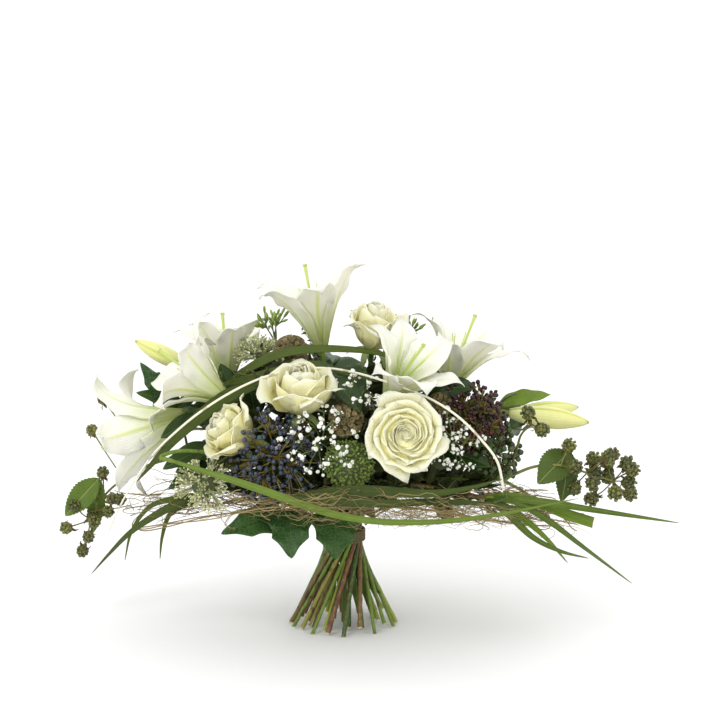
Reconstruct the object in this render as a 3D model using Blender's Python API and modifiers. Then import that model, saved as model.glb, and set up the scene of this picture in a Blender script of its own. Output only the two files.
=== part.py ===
"""Wide hand-tied bouquet of white lilies and cream roses, standing on the splayed cut ends of its
spiralled stems. Z is up, and the bouquet is seen from -Y. Tables and formulas are in millimetres from
the middle of the cut end of the centre stem. Meshes are made in metres, and everything is moved at
the end, so that the origin is the middle of the bounding box, on the floor.
"""

import math
import random

import bmesh
import bpy
from mathutils import Matrix, Vector
from mathutils.bvhtree import BVHTree

UNIT = 0.001
TAU = 2 * math.pi
GOLDEN_ANGLE = math.pi * (3 - math.sqrt(5))

# Driving dimensions of the spiral of stems
TIE_HEIGHT = 112.0
TIE_WIDTH = 17.0
FOOT_RADIUS = (64.0, 43.0, 23.0)
WAIST_RADIUS = (20.0, 13.2, 6.8)
RING_PLACES = (20, 12, 7)
SEAT_GAP = 0.3
SPIRAL_LIFT = 26.0
STEM_SIDES = 4
CORE_RADIUS = 23.4

# Leaves and petals
BLADE_THICKNESS = 0.8
PETAL_THICKNESS = 0.8

# Fibre collar under the flowers
COLLAR_HALF_LENGTH = 262.0
COLLAR_HALF_DEPTH = 148.0
COLLAR_HEIGHT = 158.0
COLLAR_DROOP = 38.0
COLLAR_RISE = 14.0
COLLAR_RINGS = ((0.31, 12), (0.97, 20))
COLLAR_STRANDS = 12
COLLAR_ROOTS = 6

COLOURS = {
    "lily_white": ((0.93, 0.93, 0.88), 0.45),
    "rose_cream": ((0.90, 0.88, 0.68), 0.55),
    "bud_yellow": ((0.72, 0.76, 0.34), 0.45),
    "pistil_green": ((0.42, 0.58, 0.10), 0.45),
    "stem_green": ((0.19, 0.27, 0.06), 0.55),
    "blade_green": ((0.09, 0.19, 0.04), 0.40),
    "grass_green": ((0.22, 0.36, 0.07), 0.40),
    "ivy_green": ((0.03, 0.11, 0.03), 0.35),
    "berry_blue": ((0.05, 0.07, 0.11), 0.25),
    "berry_purple": ((0.07, 0.03, 0.05), 0.30),
    "berry_green": ((0.06, 0.11, 0.03), 0.40),
    "gyp_white": ((0.90, 0.90, 0.84), 0.60),
    "umbel_green": ((0.22, 0.32, 0.10), 0.70),
    "lace_green": ((0.55, 0.60, 0.36), 0.70),
    "seed_brown": ((0.22, 0.15, 0.08), 0.85),
    "bramble_green": ((0.16, 0.18, 0.06), 0.60),
    "cane_ivory": ((0.80, 0.74, 0.58), 0.50),
    "fibre_brown": ((0.36, 0.25, 0.14), 0.85),
    "twine_brown": ((0.50, 0.38, 0.22), 0.90),
}

# Lilies: base, axis, roll in degrees, tepal length, and how far each tepal curls in degrees.
# Tepals 0, 2 and 4 are the three wide inner ones, and 1, 3 and 5 the narrow outer ones.
LILIES = {
    "lily_top": ((-26, 12, 336), (-0.16, 0.02, 1.0), 255, 120, (66, 76, 70, 84, 74, 96)),
    "lily_left_front": ((-134, -62, 286), (-0.84, -0.02, 0.54), 20, 116, (80, 92, 76, 100, 86, 100)),
    "lily_left_back": ((-142, 44, 290), (-0.04, 0.14, 0.98), 30, 98, (56, 74, 52, 80, 60, 82)),
    "lily_far_left": ((-184, -42, 268), (-0.89, 0.14, -0.40), 95, 132, (78, 92, 78, 90, 74, 96)),
    "lily_centre": ((52, -80, 292), (0.42, -0.48, 0.76), 10, 104, (58, 72, 62, 80, 64, 74)),
    "lily_right": ((124, 4, 284), (0.32, -0.04, 0.94), 340, 116, (76, 98, 72, 90, 74, 92)),
}
LILY_TEPAL_WIDTH = 46.0
LILY_OUTER_SHARE = 0.74

# Roses: base, axis, roll, radius, height, whorls of petals
ROSES = {
    "rose_front": ((70, -136, 254), (0.05, -0.92, 0.38), 10, 50, 50, 3),
    "rose_middle": ((-46, -98, 274), (-0.08, -0.32, 0.94), 40, 43, 58, 3),
    "rose_top": ((34, -12, 336), (0.08, -0.20, 0.98), 75, 35, 62, 3),
    "rose_left": ((-104, -108, 244), (-0.80, -0.30, 0.50), 20, 38, 57, 3),
    "rose_back": ((-72, 96, 268), (-0.20, 0.72, 0.66), 55, 44, 52, 2),
    "rose_back_right": ((92, 92, 272), (0.22, 0.66, 0.72), 15, 42, 52, 2),
}

# Lily buds: base, axis, length, radius
BUDS = {
    "lily_bud_left": ((-186, 22, 312), (-0.88, -0.10, 0.46), 74, 11),
    "lily_bud_right": ((198, -20, 264), (0.97, -0.10, -0.10), 96, 13),
}
RIGHT_BUD_TWIN = ((0.90, 0.36, 0.02), 88, 11)
BUD_PROFILE = ((0, 0.42), (0.14, 0.72), (0.36, 0.98), (0.60, 1.0), (0.82, 0.66), (0.95, 0.30), (1.0, 0))

# Berry umbels: base, axis, reach of the dome, rays, berries on a ray, berry radius, dome angle, colour
UMBELS = {
    "viburnum_blue": ((-78, -112, 232), (-0.12, -0.86, 0.14), 58, 6, 4, 3.8, 74, "berry_blue"),
    "viburnum_dark": ((146, -58, 262), (0.30, -0.55, 0.42), 46, 5, 4, 3.6, 78, "berry_purple"),
    "ivy_berries": ((176, -58, 224), (0.66, -0.60, -0.12), 32, 3, 3, 3.8, 60, "berry_green"),
    "viburnum_back": ((10, 112, 250), (0.05, 0.95, 0.30), 54, 5, 3, 3.8, 74, "berry_blue"),
    "bud_sprig_left": ((-82, 34, 338), (-0.20, 0.05, 0.98), 44, 3, 3, 3.2, 32, "grass_green"),
    "bud_sprig_right": ((74, 34, 332), (0.08, 0.02, 0.99), 40, 3, 3, 3.2, 32, "grass_green"),
}

# Gypsophila sprays: base, axis, reach, florets, dome angle
GYPSOPHILA = {
    "gypsophila_front": ((-26, -120, 248), (-0.10, -0.88, 0.34), 56, 14, 56),
    "gypsophila_middle": ((6, -92, 280), (-0.10, -0.62, 0.76), 46, 11, 52),
    "gypsophila_right": ((116, -104, 240), (0.26, -0.90, 0.22), 50, 14, 56),
}
FLORET_RADIUS = 4.0

# Close flower heads: base, axis, radius, height of the dome, colour, number of bumps, bump radius
HEADS = {
    "green_umbel": ((8, -126, 224), (0.0, -0.92, 0.20), 27, 15, "umbel_green", 12, 5.2),
    "lace_left": ((-158, -108, 196), (-0.35, -0.85, 0.20), 28, 15, "lace_green", 10, 5.2),
    "lace_top": ((-100, 14, 326), (-0.30, -0.20, 0.90), 25, 13, "lace_green", 9, 5.2),
    "scabious_middle": ((4, -112, 270), (0.0, -0.85, 0.45), 18, 19, "seed_brown", 9, 4.8),
    "scabious_top": ((-62, -14, 330), (0.02, -0.30, 0.95), 19, 18, "seed_brown", 9, 4.8),
    "scabious_right": ((112, -62, 274), (0.25, -0.55, 0.75), 15, 16, "seed_brown", 8, 4.4),
}

# Bramble sprays: the stalks as lists of points from one root, the berries' centres, then a leaf's root,
# tip and width
BRAMBLES = {
    "bramble_right": (
        (((196, -64, 196), (232, -74, 212), (262, -82, 212), (292, -82, 202), (316, -80, 194)),
         ((196, -64, 196), (204, -68, 230), (210, -76, 252), (220, -82, 262))),
        ((264, -80, 236), (270, -94, 214), (294, -68, 218), (308, -92, 224), (312, -64, 196),
         (334, -84, 193), (290, -100, 196), (316, -98, 184), (292, -76, 172), (272, -72, 184),
         (215, -86, 276), (232, -84, 256)),
        ((266, -64, 226), (227, -94, 194), 40),
    ),
    "bramble_left": (
        (((-212, 20, 200), (-252, 30, 184), (-288, 12, 160), (-306, -6, 130)),),
        ((-294, 40, 270), (-308, 34, 232), (-292, 4, 186), (-324, -12, 148), (-336, -6, 120),
         (-308, -18, 112), (-318, 0, 90), (-278, -16, 158)),
        ((-280, 8, 176), (-318, -6, 134), 30),
    ),
}
BRAMBLE_BERRY_RADIUS = 9.5

# Single leaves: root, tip, the way the upper face looks, width, name of the outline, colour, bow
LEAVES = {
    "ivy_leaf_left": ((-70, -62, 151), (-141, -112, 139), (0.0, -0.9, 0.43), 60, "ivy", "ivy_green", 6),
    "ivy_leaf_middle": ((-57, -75, 157), (-60, -114, 115), (0.0, -0.9, 0.43), 62, "ivy", "ivy_green", 6),
    "ivy_leaf_right": ((-8, -60, 154), (-9, -94, 108), (0.1, -0.9, 0.4), 58, "ivy", "ivy_green", 6),
    "ivy_leaf_back": ((34, 58, 143), (56, 118, 112), (0.1, 0.8, 0.6), 60, "ivy", "ivy_green", 6),
    "ivy_leaf_upper": ((-206, 12, 270), (-244, 2, 322), (-0.3, -0.9, 0.3), 40, "ivy", "ivy_green", 4),
    "lily_leaf_right": ((186, 4, 270), (249, -8, 284), (0.1, -0.7, 0.7), 22, "lance", "grass_green", 4),
}

# Leafy twigs that fill the gaps: the twig's points, the way the leaves look, leaves, length, width
LEAFY_TWIGS = {
    "foliage_left": (((-92, -6, 246), (-146, -14, 276), (-206, -30, 300)), (0.0, -0.7, 0.7), 4, 56, 30),
    "foliage_right": (((84, -14, 226), (96, -44, 262), (100, -58, 296)), (0.0, -0.8, 0.6), 4, 56, 30),
    "foliage_back": (((-10, 40, 258), (-14, 84, 292), (-26, 116, 300)), (0.0, 0.7, 0.7), 4, 62, 34),
    "foliage_back_left": (((-110, 50, 216), (-166, 72, 226), (-226, 84, 226)), (0.0, 0.6, 0.8), 4, 64, 36),
    "foliage_back_right": (((110, 50, 216), (162, 70, 228), (222, 80, 224)), (0.0, 0.6, 0.8), 4, 64, 36),
}

# What a twig's leaf tries until it has room: share of its length, tilt up, and turn
LEAF_TRIALS = ((1, 0, 0), (1, 0.5, 0), (1, -0.5, 0), (0.8, 0, 0.4), (0.8, 0.5, 0.4), (0.8, 0, -0.5),
               (0.62, 0.4, 0), (0.62, -0.4, 0.3), (0.5, 0.8, 0), (0.5, -0.8, 0))

# Strap leaves: the lines from root to tip, width, the way the face looks, cut square at the tip, colour
BLADES = {
    "arc_blades": (
        [((-143, -26, 298), (-84, -42, 336), (-16, -56, 347), (54, -62, 340), (112, -66, 314)),
         ((-143, -26, 298), (-82, -64, 314), (-10, -80, 324), (44, -84, 312))],
        13, (0.0, -0.75, 0.65), False, "blade_green"),
    "arc_blade_left": (
        [((-92, -62, 308), (-129, -76, 297), (-176, -106, 266), (-208, -128, 236), (-236, -128, 204))],
        18, (-0.2, -0.85, 0.5), False, "blade_green"),
    "swag_blade": (
        [((-199, -146, 234), (-101, -180, 210), (0, -202, 181), (87, -206, 175), (164, -196, 180),
          (216, -168, 183), (270, -134, 186))],
        12, (0.0, -0.85, 0.5), False, "grass_green"),
    "front_blades": (
        [((-64, -150, 190), (22, -160, 200), (112, -186, 199), (176, -168, 206)),
         ((-64, -150, 190), (36, -178, 182), (104, -178, 184), (176, -150, 174), (238, -120, 166))],
        16, (0.0, -0.9, 0.4), False, "blade_green"),
    "grass_right": (
        [((166, -84, 176), (222, -112, 178), (300, -96, 162), (398, -64, 140)),
         ((166, -84, 176), (212, -114, 172), (264, -110, 134), (340, -84, 72)),
         ((166, -84, 176), (200, -118, 156), (232, -122, 128), (286, -106, 108)),
         ((166, -84, 176), (216, -100, 176), (262, -98, 158), (292, -96, 148)),
         ((166, -84, 176), (204, -98, 158), (236, -104, 132), (262, -104, 102))],
        9, (0.1, -0.75, 0.65), False, "grass_green"),
    "grass_left": (
        [((-150, -86, 182), (-196, -92, 168), (-250, -78, 132), (-300, -56, 76)),
         ((-150, -86, 182), (-200, -72, 156), (-214, -64, 124), (-218, -58, 94)),
         ((-150, -86, 182), (-226, -58, 160), (-254, -48, 122), (-262, -40, 88))],
        8, (-0.1, -0.75, 0.65), False, "grass_green"),
    "swag_blade_back": (
        [((-112, 116, 206), (-66, 154, 210), (0, 174, 202), (86, 152, 206), (170, 88, 226))],
        14, (0.0, 0.8, 0.6), False, "blade_green"),
    "grass_back": (
        [((60, 112, 190), (-20, 160, 186), (-130, 150, 168), (-222, 104, 128)),
         ((60, 112, 190), (120, 150, 176), (208, 128, 146), (286, 84, 104)),
         ((60, 112, 190), (70, 158, 168), (88, 186, 128))],
        9, (0.0, 0.75, 0.65), False, "grass_green"),
}

STEM_RADII = ((LILIES, 3.2), (ROSES, 3.0), (BUDS, 2.6), (UMBELS, 2.4), (GYPSOPHILA, 1.8), (HEADS, 2.2))

# The ivory cane that arches over the front
CANE_POINTS = ((-278, -54, 128), (-264, -76, 165), (-233, -112, 214), (-194, -140, 263), (-162, -142, 291),
               (-106, -112, 320), (-67, -84, 330), (-31, -72, 331), (4, -76, 328), (48, -106, 318),
               (87, -144, 310), (117, -156, 302), (138, -158, 286), (169, -150, 251), (184, -138, 196))
CANE_RADIUS = 1.7


# Scene and object helpers

def start_scene():
    for obj in list(bpy.data.objects):
        bpy.data.objects.remove(obj)
    parts = bpy.data.collections.new("bouquet")
    guides = bpy.data.collections.new("guides")
    bpy.context.scene.collection.children.link(parts)
    bpy.context.scene.collection.children.link(guides)
    return parts


def make_material(name):
    colour, roughness = COLOURS[name]
    material = bpy.data.materials.get(name) or bpy.data.materials.new(name)
    material.use_nodes = True
    shader = material.node_tree.nodes["Principled BSDF"]
    shader.inputs["Base Color"].default_value = (*colour, 1)
    shader.inputs["Roughness"].default_value = roughness
    shader.inputs["Metallic"].default_value = 0.0
    return material


def make_object(name, mesh, collection):
    obj = bpy.data.objects.new(name, mesh)
    collection.objects.link(obj)
    return obj


def paint(obj, name):
    obj.data.materials.clear()
    obj.data.materials.append(make_material(name))
    for face in obj.data.polygons:
        face.material_index = 0
    return obj


def mesh_from_bmesh(name, bm):
    bmesh.ops.scale(bm, vec=(UNIT, UNIT, UNIT), verts=bm.verts)
    mesh = bpy.data.meshes.new(name)
    bm.to_mesh(mesh)
    bm.free()
    return mesh


def applied(obj):
    """The object's evaluated mesh in place of its modifiers."""
    graph = bpy.context.evaluated_depsgraph_get()
    mesh = bpy.data.meshes.new_from_object(obj.evaluated_get(graph))
    obj.modifiers.clear()
    obj.data = mesh
    return obj


def smooth_path(points, steps):
    """Evenly spaced points on a Catmull-Rom curve through the given ones."""
    knots = [Vector(p) for p in points]
    knots = [2 * knots[0] - knots[1]] + knots + [2 * knots[-1] - knots[-2]]
    fine = []
    for i in range(1, len(knots) - 2):
        a, b, c, d = knots[i - 1:i + 3]
        for k in range(16):
            t = k / 16
            fine.append(0.5 * (2 * b + (c - a) * t + (2 * a - 5 * b + 4 * c - d) * t * t
                               + (3 * b - a - 3 * c + d) * t ** 3))
    fine.append(knots[-2])
    run = [0.0]
    for a, b in zip(fine, fine[1:]):
        run.append(run[-1] + (b - a).length)
    even = []
    at = 0
    for k in range(steps + 1):
        want = run[-1] * k / steps
        while at < len(run) - 2 and run[at + 1] < want:
            at += 1
        share = (want - run[at]) / max(run[at + 1] - run[at], 1e-9)
        even.append(fine[at].lerp(fine[at + 1], share))
    return even


# Building blocks

def ring_guide(sides):
    """The cross-section that a tube of few sides is swept with, 1 mm in radius."""
    name = f"ring_{sides}"
    if name in bpy.data.objects:
        return bpy.data.objects[name]
    outline = bpy.data.curves.new(name, "CURVE")
    spline = outline.splines.new("POLY")
    spline.points.add(sides - 1)
    for k, point in enumerate(spline.points):
        point.co = (UNIT * math.cos(TAU * k / sides), UNIT * math.sin(TAU * k / sides), 0, 1)
    spline.use_cyclic_u = True
    guide = bpy.data.objects.new(name, outline)
    guide.hide_render = True
    guide.display_type = "WIRE"
    bpy.data.collections["guides"].objects.link(guide)
    return guide


def tube(name, points, radii, collection, sides=3, closed=False):
    """A tube through the points, its ends capped or joined."""
    curve = bpy.data.curves.new(name, "CURVE")
    curve.dimensions = "3D"
    curve.bevel_mode = "OBJECT"
    curve.bevel_object = ring_guide(sides)
    curve.use_fill_caps = not closed
    spline = curve.splines.new("POLY")
    spline.points.add(len(points) - 1)
    spline.use_cyclic_u = closed
    for k, point in enumerate(points):
        spline.points[k].co = (*(Vector(point) * UNIT), 1)
        spline.points[k].radius = radii[k]
    guide = make_object(name, curve, collection)
    mesh = bpy.data.meshes.new_from_object(guide.evaluated_get(bpy.context.evaluated_depsgraph_get()))
    bpy.data.objects.remove(guide)
    bm = bmesh.new()
    bm.from_mesh(mesh)
    bmesh.ops.remove_doubles(bm, verts=bm.verts, dist=1e-6)
    bmesh.ops.recalc_face_normals(bm, faces=bm.faces)
    bm.to_mesh(mesh)
    bm.free()
    return make_object(name, mesh, collection)


def turned(name, profile, sides, collection, place=None):
    """A solid turned about +Z from (height, radius) pairs, which run upwards."""
    outline = [(height, radius) for height, radius in reversed(profile)]
    outline = [(outline[0][0], 0), *outline, (outline[-1][0], 0)]
    outline = [pair for k, pair in enumerate(outline) if k == 0 or pair != outline[k - 1]]
    bm = bmesh.new()
    verts = [bm.verts.new((radius, 0, height)) for height, radius in outline]
    for low, high in zip(verts, verts[1:]):
        bm.edges.new((low, high))
    obj = make_object(name, mesh_from_bmesh(name, bm), collection)
    screw = obj.modifiers.new("turn", "SCREW")
    screw.steps = screw.render_steps = sides
    screw.use_merge_vertices = True
    screw.merge_threshold = 1e-6
    applied(obj)
    if place:
        obj.data.transform(in_metres(place))
    return obj


def aimed(base, axis, roll_degrees=0.0):
    """The matrix, in millimetres, that stands a local +Z shape on base along axis."""
    turn = Vector(axis).to_track_quat("Z", "Y").to_matrix().to_4x4()
    return Matrix.Translation(Vector(base)) @ turn @ Matrix.Rotation(math.radians(roll_degrees), 4, "Z")


def in_metres(matrix):
    scaled = matrix.copy()
    scaled.translation = matrix.translation * UNIT
    return scaled


def sheet(name, place, across, along, thickness, collection):
    """A thin solid whose middle surface is place(u, v), with u from -1 to 1 and v from 0 to 1."""
    bm = bmesh.new()
    bmesh.ops.create_grid(bm, x_segments=across, y_segments=along, size=1)
    for vert in bm.verts:
        vert.co = place(vert.co.x, (vert.co.y + 1) / 2)
    bmesh.ops.remove_doubles(bm, verts=bm.verts, dist=0.01)
    obj = make_object(name, mesh_from_bmesh(name, bm), collection)
    solid = obj.modifiers.new("thickness", "SOLIDIFY")
    solid.thickness = thickness * UNIT
    solid.offset = 0.0
    return applied(obj)


def ball(name, centre, radius, collection):
    bm = bmesh.new()
    bmesh.ops.create_icosphere(bm, subdivisions=1, radius=radius)
    bmesh.ops.translate(bm, vec=centre, verts=bm.verts)
    return make_object(name, mesh_from_bmesh(name, bm), collection)


def bead(name, centre, radius, collection, axis=(0, 0, 1), stretch=1.0):
    """An eight-faced floret, small berry or bud, stretched along axis."""
    bm = bmesh.new()
    bmesh.ops.create_uvsphere(bm, u_segments=4, v_segments=2, radius=radius)
    bmesh.ops.scale(bm, vec=(1, 1, stretch), verts=bm.verts)
    bm.transform(aimed(centre, axis))
    return make_object(name, mesh_from_bmesh(name, bm), collection)


def fuse(first, others, solver="MANIFOLD"):
    """One Boolean union of first with a collection of the others, which is then removed."""
    group = bpy.data.collections.new(first.name + "_repeats")
    bpy.context.scene.collection.children.link(group)
    for obj in others:
        for owner in list(obj.users_collection):
            owner.objects.unlink(obj)
        group.objects.link(obj)
    union = first.modifiers.new("union", "BOOLEAN")
    union.operation = "UNION"
    union.operand_type = "COLLECTION"
    union.collection = group
    union.solver = solver
    applied(first)
    for obj in list(group.objects):
        bpy.data.objects.remove(obj)
    bpy.data.collections.remove(group)
    return first


class Neighbours:
    """The solids placed so far, for keeping the next one clear of them."""

    def __init__(self):
        self.trees = []

    def add(self, obj):
        world = obj.matrix_basis
        points = [world @ v.co / UNIT for v in obj.data.vertices]
        faces = [tuple(p.vertices) for p in obj.data.polygons]
        self.trees.append(BVHTree.FromPolygons(points, faces))

    def nearest(self, point, within):
        """(distance, direction away) of the nearest solid within reach, or None."""
        best = None
        for tree in self.trees:
            where, normal, _, distance = tree.find_nearest(point, within)
            if where is None or (best and distance >= best[0]):
                continue
            away = Vector(point) - where
            inside = away.dot(normal) < 0 and distance < 6
            away = normal.copy() if inside or distance < 1e-6 else away.normalized()
            best = (-distance if inside else distance, away)
        return best

    def clear(self, point, radius):
        found = self.nearest(point, radius)
        return found is None or found[0] >= radius

    def clear_way(self, start, end, radius, steps=8):
        start, end = Vector(start), Vector(end)
        return all(self.clear(start.lerp(end, k / steps), radius) for k in range(1, steps + 1))

    def eased(self, points, reach, fixed_ends=(1, 0), rounds=40):
        """The path with each point pushed out to reach from the solids, its fixed ends kept."""
        path = [Vector(p) for p in points]
        first, last = fixed_ends[0], len(path) - fixed_ends[1]
        for _ in range(rounds):
            moved = False
            for k in range(first, last):
                found = self.nearest(path[k], reach)
                if found and found[0] < reach:
                    path[k] += found[1] * min(reach - found[0] + 0.3, 4.0)
                    moved = True
            if not moved:
                break
            for k in range(max(first, 1), min(last, len(path) - 1)):
                path[k] = path[k] * 0.8 + (path[k - 1] + path[k + 1]) * 0.1
        return path


# Lilies

def tepal_line(length, curl, first_radius, steps=40):
    """Points (radius, height, angle) of a tepal's midrib, which curls away from the axis."""
    leave = math.radians(9)
    end = math.radians(curl)
    radius, height = first_radius, 0.0
    line = [(radius, height, leave)]
    for k in range(steps):
        angle = leave + (end - leave) * ((k + 0.5) / steps) ** 1.7
        radius += math.sin(angle) * length / steps
        height += math.cos(angle) * length / steps
        line.append((radius, height, angle))
    return line


def tepal_place(length, width, curl, turn, inner):
    """place(u, v) for one tepal of a lily that stands along +Z. The outer ones lie behind, and flatter."""
    line = tepal_line(length, curl, 5.2 if inner else 6.6)
    outward = Vector((math.cos(turn), math.sin(turn), 0))
    side = Vector((-math.sin(turn), math.cos(turn), 0))
    up = Vector((0, 0, 1))

    def place(u, v):
        at = v * (len(line) - 1)
        k = min(int(at), len(line) - 2)
        radius, height, angle = (a + (b - a) * (at - k) for a, b in zip(line[k], line[k + 1]))
        half = width / 2 * math.sin(math.pi * v ** 1.1) ** 0.8 if 0 < v < 1 else 0.0
        half = min(half + 4.2 * (1 - v), 0.8 * (radius + 2.0))
        cup = (1.15 if inner else 1.6) * radius + 70 * max(0.0, v - 0.35) ** 1.3
        bend = u * half / cup
        inward = math.sin(angle) * up - math.cos(angle) * outward
        behind = 0.0 if inner else 3.4 * math.sin(math.pi * v) ** 0.7
        return (radius * outward + (3 + height) * up + cup * math.sin(bend) * side
                + (cup * (1 - math.cos(bend)) - behind) * inward)

    return place


def make_lily(name, parts):
    base, axis, roll, length, curls = LILIES[name]
    lily = turned(name, ((0, 5.5), (11, 11.5)), 6, parts)
    tepals = []
    for k, curl in enumerate(curls):
        inner = k % 2 == 0
        width = LILY_TEPAL_WIDTH * (1 if inner else LILY_OUTER_SHARE)
        place = tepal_place(length * (1 if inner else 1.03), width, curl, TAU * k / 6, inner)
        tepals.append(sheet("tepal", place, 2, 4, PETAL_THICKNESS, parts))
    fuse(lily, tepals)
    lily.matrix_basis = in_metres(aimed(base, axis, roll))
    return paint(lily, "lily_white")


def make_pistil(name, parts):
    """The style with its stigma and the six filaments, whose anthers a florist takes off."""
    base, axis, roll, length, _ = LILIES[name]
    foot = 11 + SEAT_GAP
    reach = length * 0.86
    tip = Vector((4, 0, reach))
    pistil = tube(name.replace("lily", "pistil"), [(0, 0, foot), tip], [3.0, 1.2], parts, 4)
    pieces = [ball("stigma", tip, 3.2, parts)]
    for k in range(6):
        turn = TAU * (k + 0.5) / 6
        out = Vector((math.cos(turn), math.sin(turn), 0))
        points = [out * 1.0 + Vector((0, 0, foot + 3)), out * 17 + Vector((0, 0, foot + reach * 0.60))]
        pieces.append(tube("filament", points, [1.0, 0.9], parts))
    fuse(pistil, pieces)
    pistil.matrix_basis = in_metres(aimed(base, axis, roll))
    return paint(pistil, "pistil_green")


def make_bud(name, parts):
    base, axis, length, radius = BUDS[name]
    shapes = [(axis, length, radius)] + ([RIGHT_BUD_TWIN] if name == "lily_bud_right" else [])
    made = []
    for way, long, wide in shapes:
        profile = [(long * v, wide * r) for v, r in BUD_PROFILE]
        root = Vector(base) + Vector(axis).normalized() * (5 if made else 0)
        made.append(turned(name, profile, 6, parts, aimed(root, way)))
    bud = fuse(made[0], made[1:]) if len(made) > 1 else made[0]
    return paint(bud, "bud_yellow")


# Roses

def rose_petal_place(layer, turn, height):
    cup, flare, tall, half_angle, tuck = layer

    def place(u, v):
        top = tall * (1 - 0.20 * abs(u) ** 3)
        spread = math.radians(half_angle) * (0.36 + 0.64 * math.sin(math.pi / 2 * min(1, v / 0.5)))
        radius = 5 + (cup - 5) * math.sin(math.pi / 2 * min(1, v / 0.62)) ** 0.9
        lean = max(0.0, v - 0.55) / 0.45
        radius += flare * lean ** 1.6 + tuck * u * min(1.0, 2.2 * v)
        rise = 0.08 * height + top * (v - 0.10 * lean ** 2)
        angle = turn + spread * u
        return Vector((radius * math.cos(angle), radius * math.sin(angle), rise))

    return place


def make_rose(name, parts):
    """A closed heart with three whorls of petals rooted in its foot."""
    base, axis, roll, radius, height, rings = ROSES[name]
    profile = ((0, 6.0), (0.16, 9.0), (0.34, 0.18 * radius), (0.60, 0.26 * radius), (0.84, 0.10 * radius))
    rose = turned(name, [(z * height if k else 0, r) for k, (z, r) in enumerate(profile)], 6, parts)
    whorls = [
        (3, (0.37 * radius, 0.03 * radius, 0.84 * height, 58, 0.02 * radius)),
        (3, (0.55 * radius, 0.10 * radius, 0.81 * height, 63, 0.06 * radius)),
        (5, (0.75 * radius, 0.25 * radius, 0.76 * height, 40, 0.07 * radius)),
    ]
    pieces = []
    for ring, (count, layer) in enumerate(whorls[-rings:]):
        for k in range(count):
            place = rose_petal_place(layer, TAU * k / count + 0.7 * ring, height)
            pieces.append(sheet("petal", place, 2, 2, PETAL_THICKNESS, parts))
    fuse(rose, pieces)
    rose.matrix_basis = in_metres(aimed(base, axis, roll))
    return paint(rose, "rose_cream")


# Stems

def all_heads():
    """(name, end of the stem, way it points, stem radius) for everything that a stem carries."""
    heads = []
    for table, stem_radius in STEM_RADII:
        for name, row in table.items():
            heads.append((name, Vector(row[0]), Vector(row[1]).normalized(), stem_radius))
    for name, (stalks, _, _) in BRAMBLES.items():
        root = Vector(stalks[0][0])
        heads.append((name, root, (Vector(stalks[0][1]) - root).normalized(), 2.2))
    for name, row in BLADES.items():
        root = Vector(row[0][0][0])
        heads.append((name, root, (Vector(row[0][0][1]) - root).normalized(), 2.4))
    root = Vector(CANE_POINTS[-1])
    heads.append(("cane", root, (Vector(CANE_POINTS[-2]) - root).normalized(), 1.8))
    return heads


def side_heads():
    """The same for what springs from the side of a neighbouring stem."""
    heads = []
    for name, row in LEAVES.items():
        heads.append((name, Vector(row[0]), (Vector(row[1]) - Vector(row[0])).normalized(), 1.6))
    for name, row in LEAFY_TWIGS.items():
        root = Vector(row[0][0])
        heads.append((name, root, (Vector(row[0][1]) - root).normalized(), 1.9))
    return heads


def waist_places():
    """(ring, angle) of each place in the tie, outer ring first."""
    return [(ring, TAU * (k + 0.5 * ring) / count)
            for ring, count in enumerate(RING_PLACES) for k in range(count)]


def spiral_point(ring, angle, height):
    """Where the straight stem through that place of the tie is at a height."""
    waist, foot = WAIST_RADIUS[ring], FOOT_RADIUS[ring]
    slope = math.sqrt(foot ** 2 - waist ** 2) / TIE_HEIGHT
    away = slope * (height - TIE_HEIGHT)
    x, y = math.cos(angle), math.sin(angle)
    return Vector((waist * x - away * y, waist * y + away * x, height))


def shared_out(heads):
    """Gives each head a place in the tie: the lowest heads outside, each on the side it leaves to."""
    def steepness(head):
        return (head[1].z - TIE_HEIGHT) / max(head[1].xy.length, 1.0)

    places = waist_places()
    left = sorted(heads, key=steepness)
    chosen = []
    for ring, count in enumerate(RING_PLACES):
        ring_heads = left[:count]
        left = left[count:]
        ring_places = [p for p in places if p[0] == ring]
        for head in sorted(ring_heads, key=lambda h: math.atan2(h[1].y, h[1].x)):
            want = math.atan2(head[1].y, head[1].x)

            def turn_to(place, want=want):
                leaves = spiral_point(place[0], place[1], TIE_HEIGHT + SPIRAL_LIFT)
                gap = math.atan2(leaves.y, leaves.x) - want
                return abs((gap + math.pi) % TAU - math.pi)

            best = min(ring_places, key=turn_to)
            ring_places.remove(best)
            chosen.append((head, best))
    return chosen, left


def stem_path(end, way, ring, angle, low, neighbours, radius):
    start = spiral_point(ring, angle, TIE_HEIGHT + SPIRAL_LIFT)
    ahead = (start - spiral_point(ring, angle, TIE_HEIGHT)).normalized()
    last = end - way * SEAT_GAP
    neck = last - way * 9
    pull = 0.42 * (neck - start).length
    upper = []
    for k in range(1, 3):
        t = k / 3
        bezier = [(1 - t) ** 3, 3 * t * (1 - t) ** 2, 3 * t * t * (1 - t), t ** 3]
        knots = [start, start + ahead * pull, neck - way * min(pull, 55), neck]
        upper.append(sum((knot * share for knot, share in zip(knots, bezier)), Vector()))
    path = [spiral_point(ring, angle, low), start] + upper + [neck, last]
    return neighbours.eased(path, radius + 1.8, (2, 2))


def side_path(end, way, radius, stems, neighbours):
    """A branch from the nearest stem at or below end, leaning the way that the stem grows."""
    last = end - way * SEAT_GAP
    neck = last - way * 7
    best = None
    for path in stems:
        for low, high in zip(path[1:], path[2:]):
            for k in range(8):
                point = low.lerp(high, k / 8)
                rise = (neck - point).z
                lean = (neck - point).normalized().dot(way)
                cost = (neck - point).length + (25 if rise < 0 else 0) - 10 * lean
                if (best is None or cost < best[0]) and (neck - point).length > 5:
                    best = (cost, point)
    start = best[1]
    middle = start.lerp(neck, 0.5) - way * 3
    return neighbours.eased([start, middle, neck, last], radius + 1.5, (1, 2))


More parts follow.
